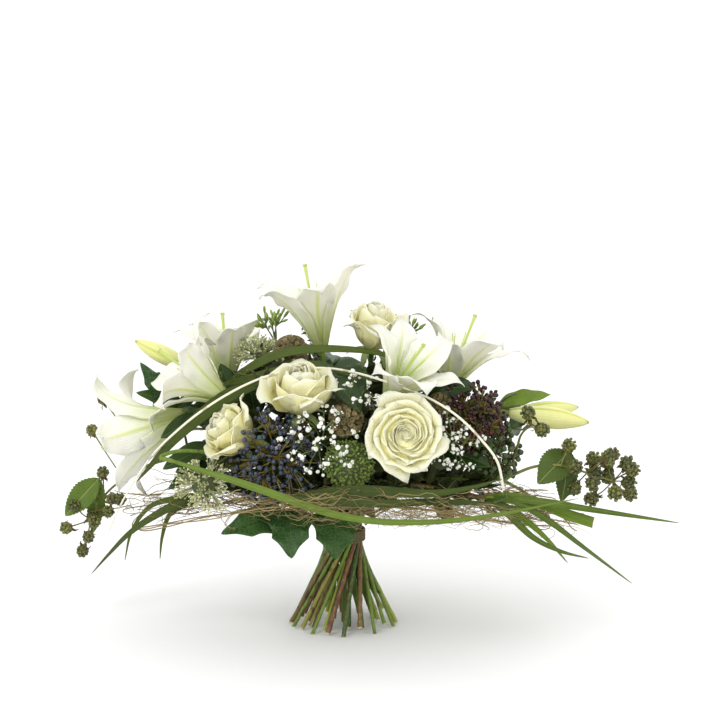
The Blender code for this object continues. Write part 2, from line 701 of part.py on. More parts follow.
def make_stems(parts, neighbours):
    draw = random.Random(4)
    pairs, extra = shared_out(all_heads())
    stems, paths = [], []
    for k, ((name, end, way, radius), (ring, angle)) in enumerate(pairs):
        low = -12.0 if ring == 0 and k % 2 == 0 or k % 5 == 0 else draw.uniform(2, 14)
        path = stem_path(end, way, ring, angle, low, neighbours, radius)
        paths.append(path)
        stems.append(tube(f"stem_{name}", path, [2.5, 2.5] + [(2.5 + radius) / 2] * 2 + [radius] * 2, parts,
                          STEM_SIDES))
    for _, end, way, radius in extra:
        paths.append([Vector((0, 0, -12)), Vector((0, 0, TIE_HEIGHT + SPIRAL_LIFT)), end - way * 9,
                      end - way * SEAT_GAP])
        stems.append(tube("stem_centre", paths[-1], [3.0] * len(paths[-1]), parts, STEM_SIDES))
    for name, end, way, radius in side_heads():
        path = side_path(end, way, radius, paths, neighbours)
        stems.append(tube(f"branch_{name}", path, [radius] * 4, parts, 4))
    bundle = turned("stems", ((TIE_HEIGHT - 5, CORE_RADIUS), (TIE_HEIGHT + 5, CORE_RADIUS)), 12, parts)
    fuse(bundle, stems)
    bm = bmesh.new()
    bmesh.ops.create_cube(bm, size=300)
    bmesh.ops.translate(bm, vec=(0, 0, -150), verts=bm.verts)
    floor = make_object("floor_cutter", mesh_from_bmesh("floor_cutter", bm), bpy.data.collections["guides"])
    floor.hide_render = True
    floor.display_type = "WIRE"
    cut = bundle.modifiers.new("cut_level", "BOOLEAN")
    cut.operation = "DIFFERENCE"
    cut.object = floor
    cut.solver = "MANIFOLD"
    applied(bundle)
    bpy.data.objects.remove(floor)
    return paint(bundle, "stem_green")


def make_tie(parts):
    """Three turns of twine, as one ring that grips the outer stems."""
    inner = (CORE_RADIUS + SEAT_GAP) / math.cos(math.pi / 12)
    turns = 3
    bm = bmesh.new()
    outline = [(inner, TIE_HEIGHT + TIE_WIDTH / 2)]
    for k in range(turns * 2 + 1):
        outline.append((inner + (3.4 if k % 2 else 1.4), TIE_HEIGHT + TIE_WIDTH * (0.5 - k / (turns * 2))))
    outline.append((inner, TIE_HEIGHT - TIE_WIDTH / 2))
    verts = [bm.verts.new((x, 0, z)) for x, z in outline]
    for a, b in zip(verts, verts[1:] + verts[:1]):
        bm.edges.new((a, b))
    tie = make_object("tie", mesh_from_bmesh("tie", bm), parts)
    screw = tie.modifiers.new("turn", "SCREW")
    screw.steps = screw.render_steps = 12
    screw.use_merge_vertices = True
    screw.merge_threshold = 1e-6
    applied(tie)
    return paint(tie, "twine_brown")


# Leaves and blades

def leaf_width(outline, v):
    """Half width, as a share of the widest, from the root at v = 0 to the tip."""
    if outline == "ivy":
        body = max(0.0, 1 - v) ** 0.8 * min(1.0, v * 7 + 0.25)
        return body * (1 + 0.16 * math.cos(TAU * (v * 2.2 - 0.35))) + 0.02
    if outline == "lance":
        return math.sin(math.pi * max(v, 0.0) ** 0.8) ** 0.9 * 0.98 + 0.05 if v < 1 else 0.04
    return math.sin(math.pi * min(v, 1.0)) ** 0.7 * 0.96 + 0.05 if 0 < v < 1 else 0.06


def make_leaf(name, parts, neighbours):
    root, tip, face, width, outline, colour, bow = LEAVES[name]
    root, tip = Vector(root), Vector(tip)
    steps = 6 if outline == "ivy" else 4
    ahead = (tip - root).normalized()
    up = (Vector(face) - Vector(face).dot(ahead) * ahead).normalized()
    side = ahead.cross(up)
    line = [root.lerp(tip, k / steps) + up * bow * math.sin(math.pi * k / steps) for k in range(steps + 1)]

    def place(u, v):
        k = round(v * steps)
        half = width / 2 * leaf_width(outline, v) if v < 1 else 0
        return line[k] + side * half * u + up * 0.18 * half * abs(u)

    leaf = sheet(name, place, 2, steps, BLADE_THICKNESS, parts)
    return paint(leaf, colour)


def blade_sheet(points, width, face, square_tip, parts, neighbours):
    """One strap leaf, a ribbon that narrows to its root and its tip."""
    steps = max(4, round(sum((Vector(b) - Vector(a)).length for a, b in zip(points, points[1:])) / 42))
    line = neighbours.eased(smooth_path(points, steps * 3), width / 2 + 1.2, (2, 0))[::3]
    sides = []
    for k in range(steps + 1):
        ahead = (line[min(k + 1, steps)] - line[max(k - 1, 0)]).normalized()
        sides.append(ahead.cross(Vector(face)).normalized())

    def place(u, v):
        k = round(v * steps)
        half = width / 2 * min(1.0, 0.4 + 3 * v) * (1 if square_tip else min(1.0, (1 - v) * 2.2) ** 0.7)
        return line[k] + sides[k] * half * u

    return sheet("blade", place, 1, steps, BLADE_THICKNESS, parts)


def make_blades(name, parts, neighbours):
    lines, width, face, square_tip, colour = BLADES[name]
    root = Vector(lines[0][0])
    ahead = (Vector(lines[0][1]) - root).normalized()
    blades = turned(name, ((0, 2.6), (9, 2.0)), 5, parts, aimed(root, ahead))
    pieces = []
    for points in lines:
        shifted = [root + ahead * 3] + [Vector(p) for p in points[1:]]
        pieces.append(blade_sheet(shifted, width, face, square_tip, parts, neighbours))
    fuse(blades, pieces)
    return paint(blades, colour)


def make_leafy_twig(name, parts, neighbours):
    """A twig with leaves at alternate sides and one at its end, each only where it has room."""
    points, face, leaves, length, width = LEAFY_TWIGS[name]
    line = neighbours.eased(smooth_path(points, 4), 3.0, (1, 0))
    twig = tube(name, line, [1.9, 1.7, 1.5, 1.3, 1.1], parts, 4)
    pieces = []
    for k in range(leaves):
        at = 4 * (k + 1) / leaves
        low = min(int(at), 3)
        root = line[low].lerp(line[low + 1], at - low)
        ahead = (line[low + 1] - line[low]).normalized()
        up = (Vector(face) - Vector(face).dot(ahead) * ahead).normalized()
        splay = 0.0 if k == leaves - 1 else (0.9 if k % 2 else -0.9)
        for share, tilt, turn in LEAF_TRIALS:
            way = Matrix.Rotation(splay + turn, 3, up) @ ahead
            way = (way + up * (0.25 + tilt)).normalized()
            side = way.cross(up).normalized()
            top = side.cross(way)
            start, reach, half = root - way * 0.8, length * share, width * share / 2

            def place(u, v):
                rim = 0.0 if v == 1 else 1.0 + half * 0.9 * math.sin(math.pi * v ** 0.9) ** 0.7
                lift = 3 * math.sin(math.pi * v) + 0.2 * rim * abs(u)
                return start + way * reach * v + side * rim * u + top * lift

            spots = [place(u, v) for u in (-1, -0.5, 0, 0.5, 1) for v in (0.2, 0.4, 0.6, 0.8, 1)]
            if all(neighbours.clear(spot, 2.4) for spot in spots):
                pieces.append(sheet("leaf", place, 2, 3, BLADE_THICKNESS, parts))
                break
    fuse(twig, pieces)
    return paint(twig, "ivy_green")


# Fillers

def dome_ways(count, dome_degrees, draw):
    """Unit vectors spread evenly over a cap round +Z, each a little off its place."""
    ways = []
    for k in range(count):
        away = math.radians(dome_degrees) * math.sqrt((k + 0.5) / count) + draw.uniform(-0.05, 0.05)
        turn = GOLDEN_ANGLE * k + draw.uniform(-0.2, 0.2)
        out = math.sin(away)
        ways.append(Vector((out * math.cos(turn), out * math.sin(turn), math.cos(away))))
    return ways


def make_umbel(name, parts, neighbours):
    """Rays from one hub, each ending in a few stalked berries."""
    base, axis, reach, rays, on_ray, berry, dome, colour = UMBELS[name]
    draw = random.Random(name)
    world = aimed(base, axis)
    umbel = turned(name, ((0, 2.4), (7, 4.0)), 5, parts)
    pieces = []
    for way in dome_ways(rays, dome * 0.8, draw):
        tip = way * reach
        if not neighbours.clear_way(Vector(base), world @ (tip * 0.8), 1.8):
            continue
        across = way.orthogonal()
        pieces.append(tube("ray", [Vector((way.x * 2.6, way.y * 2.6, 5)), tip], [1.3, 1.2], parts))
        for k in range(on_ray):
            turn = Matrix.Rotation(2.4 * k + draw.uniform(-0.3, 0.3), 3, way)
            lift = way * reach * (1.0 - 0.42 * k / on_ray)
            centre = lift + turn @ across * (0.0 if k == 0 else 0.5 * berry)
            if neighbours.clear(world @ centre, berry + 1.0):
                pieces.append(bead("berry", centre, berry, parts, across))
    fuse(umbel, pieces)
    umbel.matrix_basis = in_metres(world)
    return paint(umbel, colour)


def make_gypsophila(name, parts, neighbours):
    """Thin twigs with a floret at each end."""
    base, axis, reach, florets, dome = GYPSOPHILA[name]
    draw = random.Random(name)
    world = aimed(base, axis)
    spray = turned(name, ((0, 1.9), (8, 3.4)), 5, parts)
    pieces = []
    for way in dome_ways(florets, dome, draw):
        centre = way * reach * draw.uniform(0.66, 1.04)
        start = Vector((way.x * 2.8, way.y * 2.8, 6))
        if not (neighbours.clear(world @ centre, FLORET_RADIUS + 2.0)
                and neighbours.clear_way(world @ start, world @ centre, 1.3)):
            continue
        pieces.append(tube("twig", [start, centre], [0.9, 0.7], parts))
        pieces.append(bead("floret", centre, FLORET_RADIUS, parts, way))
    fuse(spray, pieces)
    spray.matrix_basis = in_metres(world)
    return paint(spray, "gyp_white")


def make_head(name, parts, neighbours):
    """A close domed head: a low core that its florets stand out of."""
    base, axis, radius, height, colour, florets, size = HEADS[name]
    draw = random.Random(name)
    world = aimed(base, axis)
    profile = ((0, 2.4), (7, 0.70 * radius), (8 + 0.30 * height, 0.80 * radius),
               (6 + 0.85 * height, 0.42 * radius))
    head = turned(name, profile, 8, parts)
    pieces = []
    for way in dome_ways(florets, 84, draw):
        centre = Vector((way.x * radius * 0.84, way.y * radius * 0.84, 8 + way.z * (height - 4)))
        if neighbours.clear(world @ centre, size + 0.8):
            pieces.append(bead("floret", centre, size, parts, way, 1.25))
    fuse(head, pieces)
    head.matrix_basis = in_metres(world)
    return paint(head, colour)


def make_bramble(name, parts, neighbours):
    stalks, berries, (root, tip, width) = BRAMBLES[name]
    paths = [neighbours.eased(smooth_path(stalk, 4), 3.2, (1, 0)) for stalk in stalks]
    for path in paths[1:]:
        path[0] = paths[0][0].lerp(paths[0][1], 0.3)
    spots = [point for path in paths for point in path[1:]]
    bramble = tube(name, paths[0], [2.2, 2.0, 1.8, 1.5, 1.2], parts, 4)
    pieces = [tube("stalk", path, [2.0, 1.8, 1.6, 1.4, 1.2], parts, 4) for path in paths[1:]]
    for centre in berries:
        centre = neighbours.eased([centre], BRAMBLE_BERRY_RADIUS + 1.2, (0, 0))[0]
        start = min(spots, key=lambda p: (p - centre).length)
        pieces.append(tube("pedicel", [start, centre], [1.1, 1.0], parts))
        pieces.append(ball("berry", centre, BRAMBLE_BERRY_RADIUS, parts))
    root, tip = Vector(root), Vector(tip)
    start = min(spots, key=lambda p: (p - root).length)
    ahead = (tip - root).normalized()
    face = Vector((0, -0.9, 0.4))
    up = (face - face.dot(ahead) * ahead).normalized()
    side = ahead.cross(up)

    def place(u, v):
        half = width / 2 * (0 if v == 1 else leaf_width("laurel", v))
        return root.lerp(tip, v) + side * half * u + up * (0.2 * half * abs(u) - 1.0)

    pieces.append(tube("leafstalk", [start, root.lerp(tip, 0.1)], [1.2, 1.2], parts))
    pieces.append(sheet("leaf", place, 2, 4, BLADE_THICKNESS, parts))
    fuse(bramble, pieces)
    return paint(bramble, "bramble_green")


def make_cane(parts, neighbours):
    line = neighbours.eased(smooth_path(CANE_POINTS, 19), CANE_RADIUS + 0.8, (0, 2))
    return paint(tube("cane", line, [CANE_RADIUS] * len(line), parts, 4), "cane_ivory")


def collar_point(share, turn):
    """A point of the collar's oval dish, at a share of the way to its rim."""
    along, out = share * math.cos(turn), share * math.sin(turn)
    return Vector((COLLAR_HALF_LENGTH * along, COLLAR_HALF_DEPTH * out,
                   COLLAR_HEIGHT - COLLAR_DROOP * along ** 2 + COLLAR_RISE * out ** 2))


def make_collar(parts, neighbours):
    """A net of fibres: ovals crossed by slanting strands, bent clear of the stems."""
    draw = random.Random(11)
    rings = []
    for share, sides in COLLAR_RINGS:
        points = []
        for k in range(sides):
            turn = TAU * k / sides
            wave = share * (1 + 0.02 * math.sin(5 * turn))
            wider = next((w for w in (0, 0.03, 0.06, 0.1, 0.14, 0.18, 0.24)
                          if neighbours.clear(collar_point(wave + w, turn), 6.0)), 0.0)
            points.append(collar_point(wave + wider, turn))
        rings.append(points)
    ovals = [tube("collar", points, [1.7] * len(points), parts, 3, True) for points in rings]
    strands = []
    rest = TIE_HEIGHT + TIE_WIDTH / 2 + SEAT_GAP + 0.9
    for knot in rings[0]:
        turn = math.atan2(knot.y, knot.x)
        for swing in (0, 0.2, -0.2, 0.4, -0.4, 0.6, -0.6):
            x, y = math.cos(turn + swing), math.sin(turn + swing)
            ways = [(middle, Vector((26.2 * x, 26.2 * y, rest))) for middle in
                    (Vector((44 * x, 44 * y, rest + 15)), Vector((40 * x, 40 * y, rest + 7)),
                     Vector((54 * x, 46 * y, rest + 18)))]
            way = next((way for way in ways if neighbours.clear_way(knot, way[0], 2.0, 30)
                        and neighbours.clear_way(way[1], way[0], 1.3, 20)), None)
            if way and len(strands) < COLLAR_ROOTS:
                strands.append(tube("root", [knot, *way], [1.3, 1.3, 1.2], parts))
                break
    for k in range(COLLAR_STRANDS):
        turn = TAU * (k + draw.uniform(-0.2, 0.2)) / COLLAR_STRANDS
        swing = draw.choice((-1, 1)) * draw.uniform(0.10, 0.36)
        points = [collar_point(share, turn + swing * lean) for share, lean in
                  ((0.27, 0), (0.68, 0.6), (1.0 + draw.uniform(0.02, 0.07), 1))]
        if all(neighbours.clear_way(a, b, 2.0, 24) for a, b in zip(points, points[1:])):
            strands.append(tube("strand", points, [1.4, 1.3, 1.1], parts))
    fuse(ovals[0], ovals[1:] + strands)
    ovals[0].name = "collar"
    return paint(ovals[0], "fibre_brown")


def centre_on_floor(parts):
    corners = [obj.matrix_basis @ v.co for obj in parts.objects for v in obj.data.vertices]
    low, high = (Vector(map(pick, zip(*corners))) for pick in (min, max))
    shift = Matrix.Translation((-(low.x + high.x) / 2, -(low.y + high.y) / 2, 0))
    for obj in parts.objects:
        obj.matrix_basis = shift @ obj.matrix_basis


def main():
    parts = start_scene()
    neighbours = Neighbours()
    blooms = [make_lily(name, parts) for name in LILIES]
    blooms += [make_pistil(name, parts) for name in LILIES]
    blooms += [make_rose(name, parts) for name in ROSES]
    blooms += [make_bud(name, parts) for name in BUDS]
    for bloom in blooms:
        neighbours.add(bloom)
    neighbours.add(make_tie(parts))
    neighbours.add(make_stems(parts, neighbours))
    for name in LEAVES:
        neighbours.add(make_leaf(name, parts, neighbours))
    neighbours.add(make_collar(parts, neighbours))
    for name in BLADES:
        neighbours.add(make_blades(name, parts, neighbours))
    neighbours.add(make_cane(parts, neighbours))
    for name in HEADS:
        neighbours.add(make_head(name, parts, neighbours))
    for name in BRAMBLES:
        neighbours.add(make_bramble(name, parts, neighbours))
    for name in UMBELS:
        neighbours.add(make_umbel(name, parts, neighbours))
    for name in GYPSOPHILA:
        neighbours.add(make_gypsophila(name, parts, neighbours))
    for name in LEAFY_TWIGS:
        neighbours.add(make_leafy_twig(name, parts, neighbours))
    centre_on_floor(parts)


main()
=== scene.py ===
# A wide hand-tied bouquet of lilies and roses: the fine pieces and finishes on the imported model.
# Shapes are worked out in millimetres from the middle of the cut end of the centre stem, as the model's
# are, and a piece is moved to metres in the shared frame when it is kept.

import random
from contextlib import contextmanager
from math import atan2, cos, exp, hypot, pi, radians, sin, sqrt

import bmesh
import bpy
from mathutils import Matrix, Vector
from mathutils.bvhtree import BVHTree


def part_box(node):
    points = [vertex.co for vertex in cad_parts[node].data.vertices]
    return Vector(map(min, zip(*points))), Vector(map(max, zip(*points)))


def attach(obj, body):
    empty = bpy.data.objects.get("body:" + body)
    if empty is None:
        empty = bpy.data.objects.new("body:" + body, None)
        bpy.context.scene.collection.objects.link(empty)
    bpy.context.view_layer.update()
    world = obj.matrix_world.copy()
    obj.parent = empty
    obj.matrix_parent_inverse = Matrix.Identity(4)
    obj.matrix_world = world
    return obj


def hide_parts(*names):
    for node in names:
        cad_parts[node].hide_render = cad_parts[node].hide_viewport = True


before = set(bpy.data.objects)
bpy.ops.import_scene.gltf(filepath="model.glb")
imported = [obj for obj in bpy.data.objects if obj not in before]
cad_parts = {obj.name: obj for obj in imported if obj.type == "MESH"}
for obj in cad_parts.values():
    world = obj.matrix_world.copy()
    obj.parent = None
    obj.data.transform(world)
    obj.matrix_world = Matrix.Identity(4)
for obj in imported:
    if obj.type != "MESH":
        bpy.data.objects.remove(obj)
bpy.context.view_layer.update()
tieLow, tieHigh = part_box("tie")  # the centre stem stands under the middle of the tie
toFrame = (Matrix.Translation(((tieLow.x + tieHigh.x) / 2, (tieLow.y + tieHigh.y) / 2, 0))
           @ Matrix.Scale(0.001, 4))
fromFrame = toFrame.inverted()
turnRound = 2 * pi
goldenAngle = pi * (3 - sqrt(5))
upward = Vector((0, 0, 1))
print("frame loaded:", len(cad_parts), "nodes")


# Shader nodes written as expressions

def feed(tree, socket, value):
    # links another node's output, or sets what is given
    value = value.socket if isinstance(value, Value) else value
    if isinstance(value, bpy.types.NodeSocket):
        tree.links.new(value, socket)
    else:
        socket.default_value = value


def newNode(tree, kind, settings, sockets):
    made = tree.nodes.new(kind)
    for key, value in (settings or {}).items():
        setattr(made, key, value)
    for key, value in (sockets or {}).items():
        feed(tree, made.inputs[key], value)
    return made


class Value:
    # a socket of a finish's tree, which sums can be written with
    def __init__(self, finish, socket):
        self.finish = finish
        self.socket = socket

    def maths(self, operation, *others):
        return self.finish.node("Math", {"operation": operation}, dict(enumerate((self, *others))))

    def __add__(self, other):
        return self.maths("ADD", other)

    def __sub__(self, other):
        return self.maths("SUBTRACT", other)

    def __rsub__(self, other):
        return self.finish.node("Math", {"operation": "SUBTRACT"}, {0: other, 1: self})

    def __mul__(self, other):
        return self.maths("MULTIPLY", other)

    def __abs__(self):
        return self.maths("ABSOLUTE")

    def sine(self):
        return self.maths("SINE")

    __radd__ = __add__
    __rmul__ = __mul__


class Finish:
    # one material and the nodes that feed its Principled shader
    def __init__(self, name, **sockets):
        self.material = bpy.data.materials.new(name)
        self.material.use_nodes = True
        self.tree = self.material.node_tree
        self.shader = self.tree.nodes["Principled BSDF"]
        self.set(**{"Metallic": 0.0, **sockets})

    def node(self, kind, settings=None, sockets=None, out=0):
        return Value(self, newNode(self.tree, "ShaderNode" + kind, settings, sockets).outputs[out])

    def set(self, **sockets):
        for key, value in sockets.items():
            feed(self.tree, self.shader.inputs[key.replace("_", " ")], value)
        return self

    def read(self, attribute):
        return self.node("Attribute", {"attribute_name": attribute}, out="Fac")

    def band(self, value, low, high):
        # rises smoothly from 0 at low to 1 at high
        return self.node("MapRange", {"interpolation_type": "SMOOTHSTEP"},
                         {"Value": value, "From Min": low, "From Max": high})

    def mix(self, share, first, second):
        first, second = ((*c, 1) if isinstance(c, tuple) and len(c) == 3 else c for c in (first, second))
        return self.node("Mix", {"data_type": "RGBA"}, {0: share, 6: first, 7: second}, out=2)

    def noise(self, scale, detail=2.0, stretch=(1, 1, 1)):
        place = self.node("TexCoord", out="Object")
        place = self.node("Mapping", {}, {"Vector": place, "Scale": stretch})
        return self.node("TexNoise", {}, {"Vector": place, "Scale": scale, "Detail": detail})

    def bump(self, height, depth):
        return self.set(Normal=self.node("Bump", {}, {"Height": height, "Strength": 1.0, "Distance": depth}))

    def coats(self, colour, *coats):
        # lays each colour over the last by its share
        for share, coat in coats:
            colour = self.mix(share, colour, coat)
        return colour

    def done(self, colour, height, depth):
        return self.set(Base_Color=colour).bump(height, depth)


# Gathering and keeping pieces

def linked(name, data):
    obj = bpy.data.objects.new(name, data)
    bpy.context.scene.collection.objects.link(obj)
    return obj


@contextmanager
def opened(mesh):
    # a mesh as a bmesh, which goes back into it at the end
    shape = bmesh.new()
    shape.from_mesh(mesh)
    yield shape
    shape.to_mesh(mesh)
    shape.free()


def applied(obj):
    # what its modifiers make of it, as a plain mesh
    graph = bpy.context.evaluated_depsgraph_get()
    plain = bpy.data.meshes.new_from_object(obj.evaluated_get(graph), preserve_all_data_layers=True,
                                            depsgraph=graph)
    obj.modifiers.clear()
    obj.data = plain
    return obj


def keep(obj, slot, *nodes, where=None):
    # a finished piece, turned to its place on the bouquet, moved into the frame and hung under the root body,
    # with the parts that it replaces hidden
    if where:
        obj.data.transform(where)
    obj.data.transform(toFrame)
    obj.data.shade_smooth()
    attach(obj, "root")
    if nodes:
        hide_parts(*nodes)
    return obj


def blended(values, share):
    # the value at a share of the way along a list
    at = share * (len(values) - 1)
    low = min(int(at), len(values) - 2)
    return values[low] + (values[low + 1] - values[low]) * (at - low)


class Batch:
    # the points, faces or edges of one piece, with the values that its finish and its tree read
    def __init__(self, name, *values):
        self.name = name
        self.points, self.edges, self.faces = [], [], []
        self.values = {value: [] for value in ("across", "along", "tint", *values)}

    def note(self, point, **values):
        self.points.append(point)
        for key, held in self.values.items():
            held.append(values.get(key, 0.5))

    def sheet(self, place, across, along, tint=0.5, reads=None):
        # a grid of place(u, v), with u from -1 to 1 and v from 0 to 1
        start = len(self.points)
        for j in range(along + 1):
            for i in range(across + 1):
                u, v = 2 * i / across - 1, j / along
                side, run = reads(u, v) if reads else (u, v)
                self.note(place(u, v), across=side, along=run, tint=tint)
        for j in range(along):
            for i in range(across):
                a = start + j * (across + 1) + i
                self.faces.append((a, a + 1, a + across + 2, a + across + 1))

    def cut(self, start):
        # takes the last sheet off again
        del self.points[start:]
        for held in self.values.values():
            del held[start:]
        self.faces = [face for face in self.faces if max(face) < start]

    def line(self, points, girth, tint=0.5):
        # a chain of edges that becomes a tube, with its radius from first to last
        start, run = len(self.points), 0.0
        for k, point in enumerate(points):
            run += (Vector(point) - Vector(points[k - 1])).length if k else 0.0
            self.note(point, girth=blended(girth, k / (len(points) - 1)), along=run, tint=tint)
        self.edges += [(start + k, start + k + 1) for k in range(len(points) - 1)]

    def dot(self, point, aim, size, tint):
        # a point that gets a copy of a shape, turned to its aim
        self.note(point, aim=tuple(aim), size=size, tint=tint)

    def object(self, *finishes):
        mesh = bpy.data.meshes.new(self.name)
        mesh.from_pydata([tuple(p) for p in self.points], self.edges, self.faces)
        for key, held in self.values.items():
            if key == "aim":
                attribute = mesh.attributes.new(key, "FLOAT_VECTOR", "POINT")
                attribute.data.foreach_set("vector", [x for aim in held for x in aim])
            else:
                mesh.attributes.new(key, "FLOAT", "POINT").data.foreach_set("value", held)
        for finish in finishes:
            mesh.materials.append(finish.material)
        return linked(self.name, mesh)

    def leafy(self, finish, thickness):
        # thin closed sheets
        obj = self.object(finish)
        solid = obj.modifiers.new("thickness", "SOLIDIFY")
        solid.thickness, solid.offset = thickness, 0.0
        return applied(obj)

    def closed(self, finish):
        # sheets that go right round, their seams joined and their ends filled
        obj = self.object(finish)
        with opened(obj.data) as shape:
            bmesh.ops.remove_doubles(shape, verts=shape.verts, dist=0.01)
            bmesh.ops.holes_fill(shape, edges=[edge for edge in shape.edges if edge.is_boundary])
            bmesh.ops.recalc_face_normals(shape, faces=shape.faces)
        return obj

    def grown(self, tree, finish, **inputs):
        # the piece that a Geometry Nodes tree grows on the points and edges
        obj = self.object()
        grow = obj.modifiers.new("grow", "NODES")
        grow.node_group = tree
        inputs["Finish"] = finish.material
        for item in tree.interface.items_tree:
            if item.in_out == "INPUT" and item.name in inputs:
                grow[item.identifier] = inputs[item.name]
        return applied(obj)

    def tubes(self, finish, sides):
        return self.grown(tubeTree, finish, Sides=sides)


# Geometry Nodes trees

def newTree(name, inputs):
    tree = bpy.data.node_groups.new(name, "GeometryNodeTree")
    tree.interface.new_socket("Geometry", in_out="INPUT", socket_type="NodeSocketGeometry")
    for label, kind in inputs.items():
        tree.interface.new_socket(label, in_out="INPUT", socket_type="NodeSocket" + kind)
    tree.interface.new_socket("Geometry", in_out="OUTPUT", socket_type="NodeSocketGeometry")
    return tree, tree.nodes.new("NodeGroupInput")


def put(tree, kind, out=0, settings=None, **sockets):
    # a node of a Geometry Nodes tree, by the names of its inputs
    sockets = {key.replace("_", " "): value for key, value in sockets.items()}
    return newNode(tree, kind, settings, sockets).outputs[out]


def ended(tree, shape, given):
    shape = put(tree, "GeometryNodeSetMaterial", Geometry=shape, Material=given.outputs["Finish"])
    tree.links.new(shape, tree.nodes.new("NodeGroupOutput").inputs[0])
    return tree


def makeTubeTree():
    # each chain of edges becomes a round tube, as thick as its points say
    tree, given = newTree("tubes", {"Sides": "Int", "Finish": "Material"})
    girth = put(tree, "GeometryNodeInputNamedAttribute", Name="girth")
    ring = put(tree, "GeometryNodeCurvePrimitiveCircle", Resolution=given.outputs["Sides"])
    ring.node.inputs["Radius"].default_value = 1.0
    line = put(tree, "GeometryNodeMeshToCurve", Mesh=given.outputs["Geometry"])
    tube = put(tree, "GeometryNodeCurveToMesh", Curve=line, Profile_Curve=ring, Scale=girth, Fill_Caps=True)
    return ended(tree, put(tree, "GeometryNodeRealizeInstances", Geometry=tube), given)


def makeScatterTree():
    # a copy of the shape on each point, turned to its aim, spun at random and sized
    tree, given = newTree("scatter", {"Shape": "Object", "Seed": "Int", "Finish": "Material"})
    points = put(tree, "GeometryNodeMeshToPoints", Mesh=given.outputs["Geometry"])
    aim = put(tree, "GeometryNodeInputNamedAttribute", settings={"data_type": "FLOAT_VECTOR"}, Name="aim")
    size = put(tree, "GeometryNodeInputNamedAttribute", Name="size")
    shape = put(tree, "GeometryNodeObjectInfo", out="Geometry", Object=given.outputs["Shape"])
    turn = put(tree, "FunctionNodeAlignRotationToVector", settings={"axis": "Z"}, Vector=aim)
    angle = put(tree, "FunctionNodeRandomValue", out=1, Seed=given.outputs["Seed"])
    angle.node.inputs[3].default_value = turnRound
    spin = put(tree, "FunctionNodeAxisAngleToRotation", Axis=(0, 0, 1), Angle=angle)
    turn = put(tree, "FunctionNodeRotateRotation", settings={"rotation_space": "LOCAL"}, Rotation=turn,
               Rotate_By=spin)
    copies = put(tree, "GeometryNodeInstanceOnPoints", Points=points, Instance=shape, Rotation=turn,
                 Scale=size)
    return ended(tree, put(tree, "GeometryNodeRealizeInstances", Geometry=copies), given)


tubeTree = makeTubeTree()
scatterTree = makeScatterTree()


# Keeping clear of the solids, and paths

class Space:
    # what is placed so far, solids and finer pieces, which the next piece bends clear of
    def __init__(self):
        self.trees = []

    def addMesh(self, mesh):
        faces = [tuple(face.vertices) for face in mesh.polygons]
        self.trees.append(BVHTree.FromPolygons([fromFrame @ v.co for v in mesh.vertices], faces))

    def add(self, *names):
        for name in names:
            self.addMesh(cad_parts[name].data)

    def nearest(self, point, within, deepest=6):
        # how far off what is there is, less than 0 from within, and the way out of it
        best = None
        for tree in self.trees:
            where, normal, _, distance = tree.find_nearest(point, within)
            if where is None or (best and distance >= best[0]):
                continue
            away = Vector(point) - where
            inside = away.dot(normal) < 0 and distance < deepest
            away = normal.copy() if inside or distance < 1e-6 else away.normalized()
            best = (-distance if inside else distance, away)
        return best

    def clear(self, point, radius):
        found = self.nearest(point, radius)
        return found is None or found[0] >= radius

    def clearWay(self, start, end, radius, steps=8):
        return all(self.clear(Vector(start).lerp(Vector(end), k / steps), radius)
                   for k in range(1, steps + 1))

    def eased(self, points, reach, fixedEnds=(1, 0), rounds=40, spare=0.3, most=4.0):
        # a path whose points are pushed out of reach of what is there, a little at a time
        path = [Vector(p) for p in points]
        first, last = fixedEnds[0], len(path) - fixedEnds[1]
        for _ in range(rounds):
            moved = False
            for k in range(first, last):
                found = self.nearest(path[k], reach)
                if found and found[0] < reach:
                    path[k] += found[1] * min(reach - found[0] + spare, most)
                    moved = True
            if not moved:
                break
            for k in range(max(first, 1), min(last, len(path) - 1)):
                path[k] = path[k] * 0.8 + (path[k - 1] + path[k + 1]) * 0.1
        return path


space = Space()


def smoothPath(points, steps, parts=16):
    # even steps along a curve through all the points
    knots = [Vector(p) for p in points]
    knots = [2 * knots[0] - knots[1]] + knots + [2 * knots[-1] - knots[-2]]
    fine = []
    for i in range(1, len(knots) - 2):
        a, b, c, d = knots[i - 1:i + 3]
        for k in range(parts):
            t = k / parts
            fine.append(0.5 * (2 * b + (c - a) * t + (2 * a - 5 * b + 4 * c - d) * t * t
                               + (3 * b - a - 3 * c + d) * t ** 3))
    fine.append(knots[-2])
    run = [0.0]
    for a, b in zip(fine, fine[1:]):
        run.append(run[-1] + (b - a).length)
    even = []
    at = 0
    for k in range(steps + 1):
        want = run[-1] * k / steps
        while at < len(run) - 2 and run[at + 1] < want:
            at += 1
        even.append(fine[at].lerp(fine[at + 1], (want - run[at]) / max(run[at + 1] - run[at], 1e-9)))
    return even


def aimed(base, axis, roll=0.0):
    # moves what is made upright at the origin to its place
    turn = Vector(axis).to_track_quat("Z", "Y").to_matrix().to_4x4()
    return Matrix.Translation(Vector(base)) @ turn @ Matrix.Rotation(radians(roll), 4, "Z")


def domeWays(count, degrees, draw):
    # ways spread evenly over a dome, out to so many degrees from its top
    ways = []
    for k in range(count):
        away = radians(degrees) * sqrt((k + 0.5) / count) + draw.uniform(-0.05, 0.05)
        turn = goldenAngle * k + draw.uniform(-0.2, 0.2)
        out = sin(away)
        ways.append(Vector((out * cos(turn), out * sin(turn), cos(away))))
    return ways


def around(turn, away=1, height=0):
    return Vector((away * cos(turn), away * sin(turn), height))


def wobble(draw, size):
    return Vector([draw.uniform(-size, size) for _ in range(3)])


def nearestOf(points, place):
    return min(points, key=lambda point: (point - place).length)


# Lilies

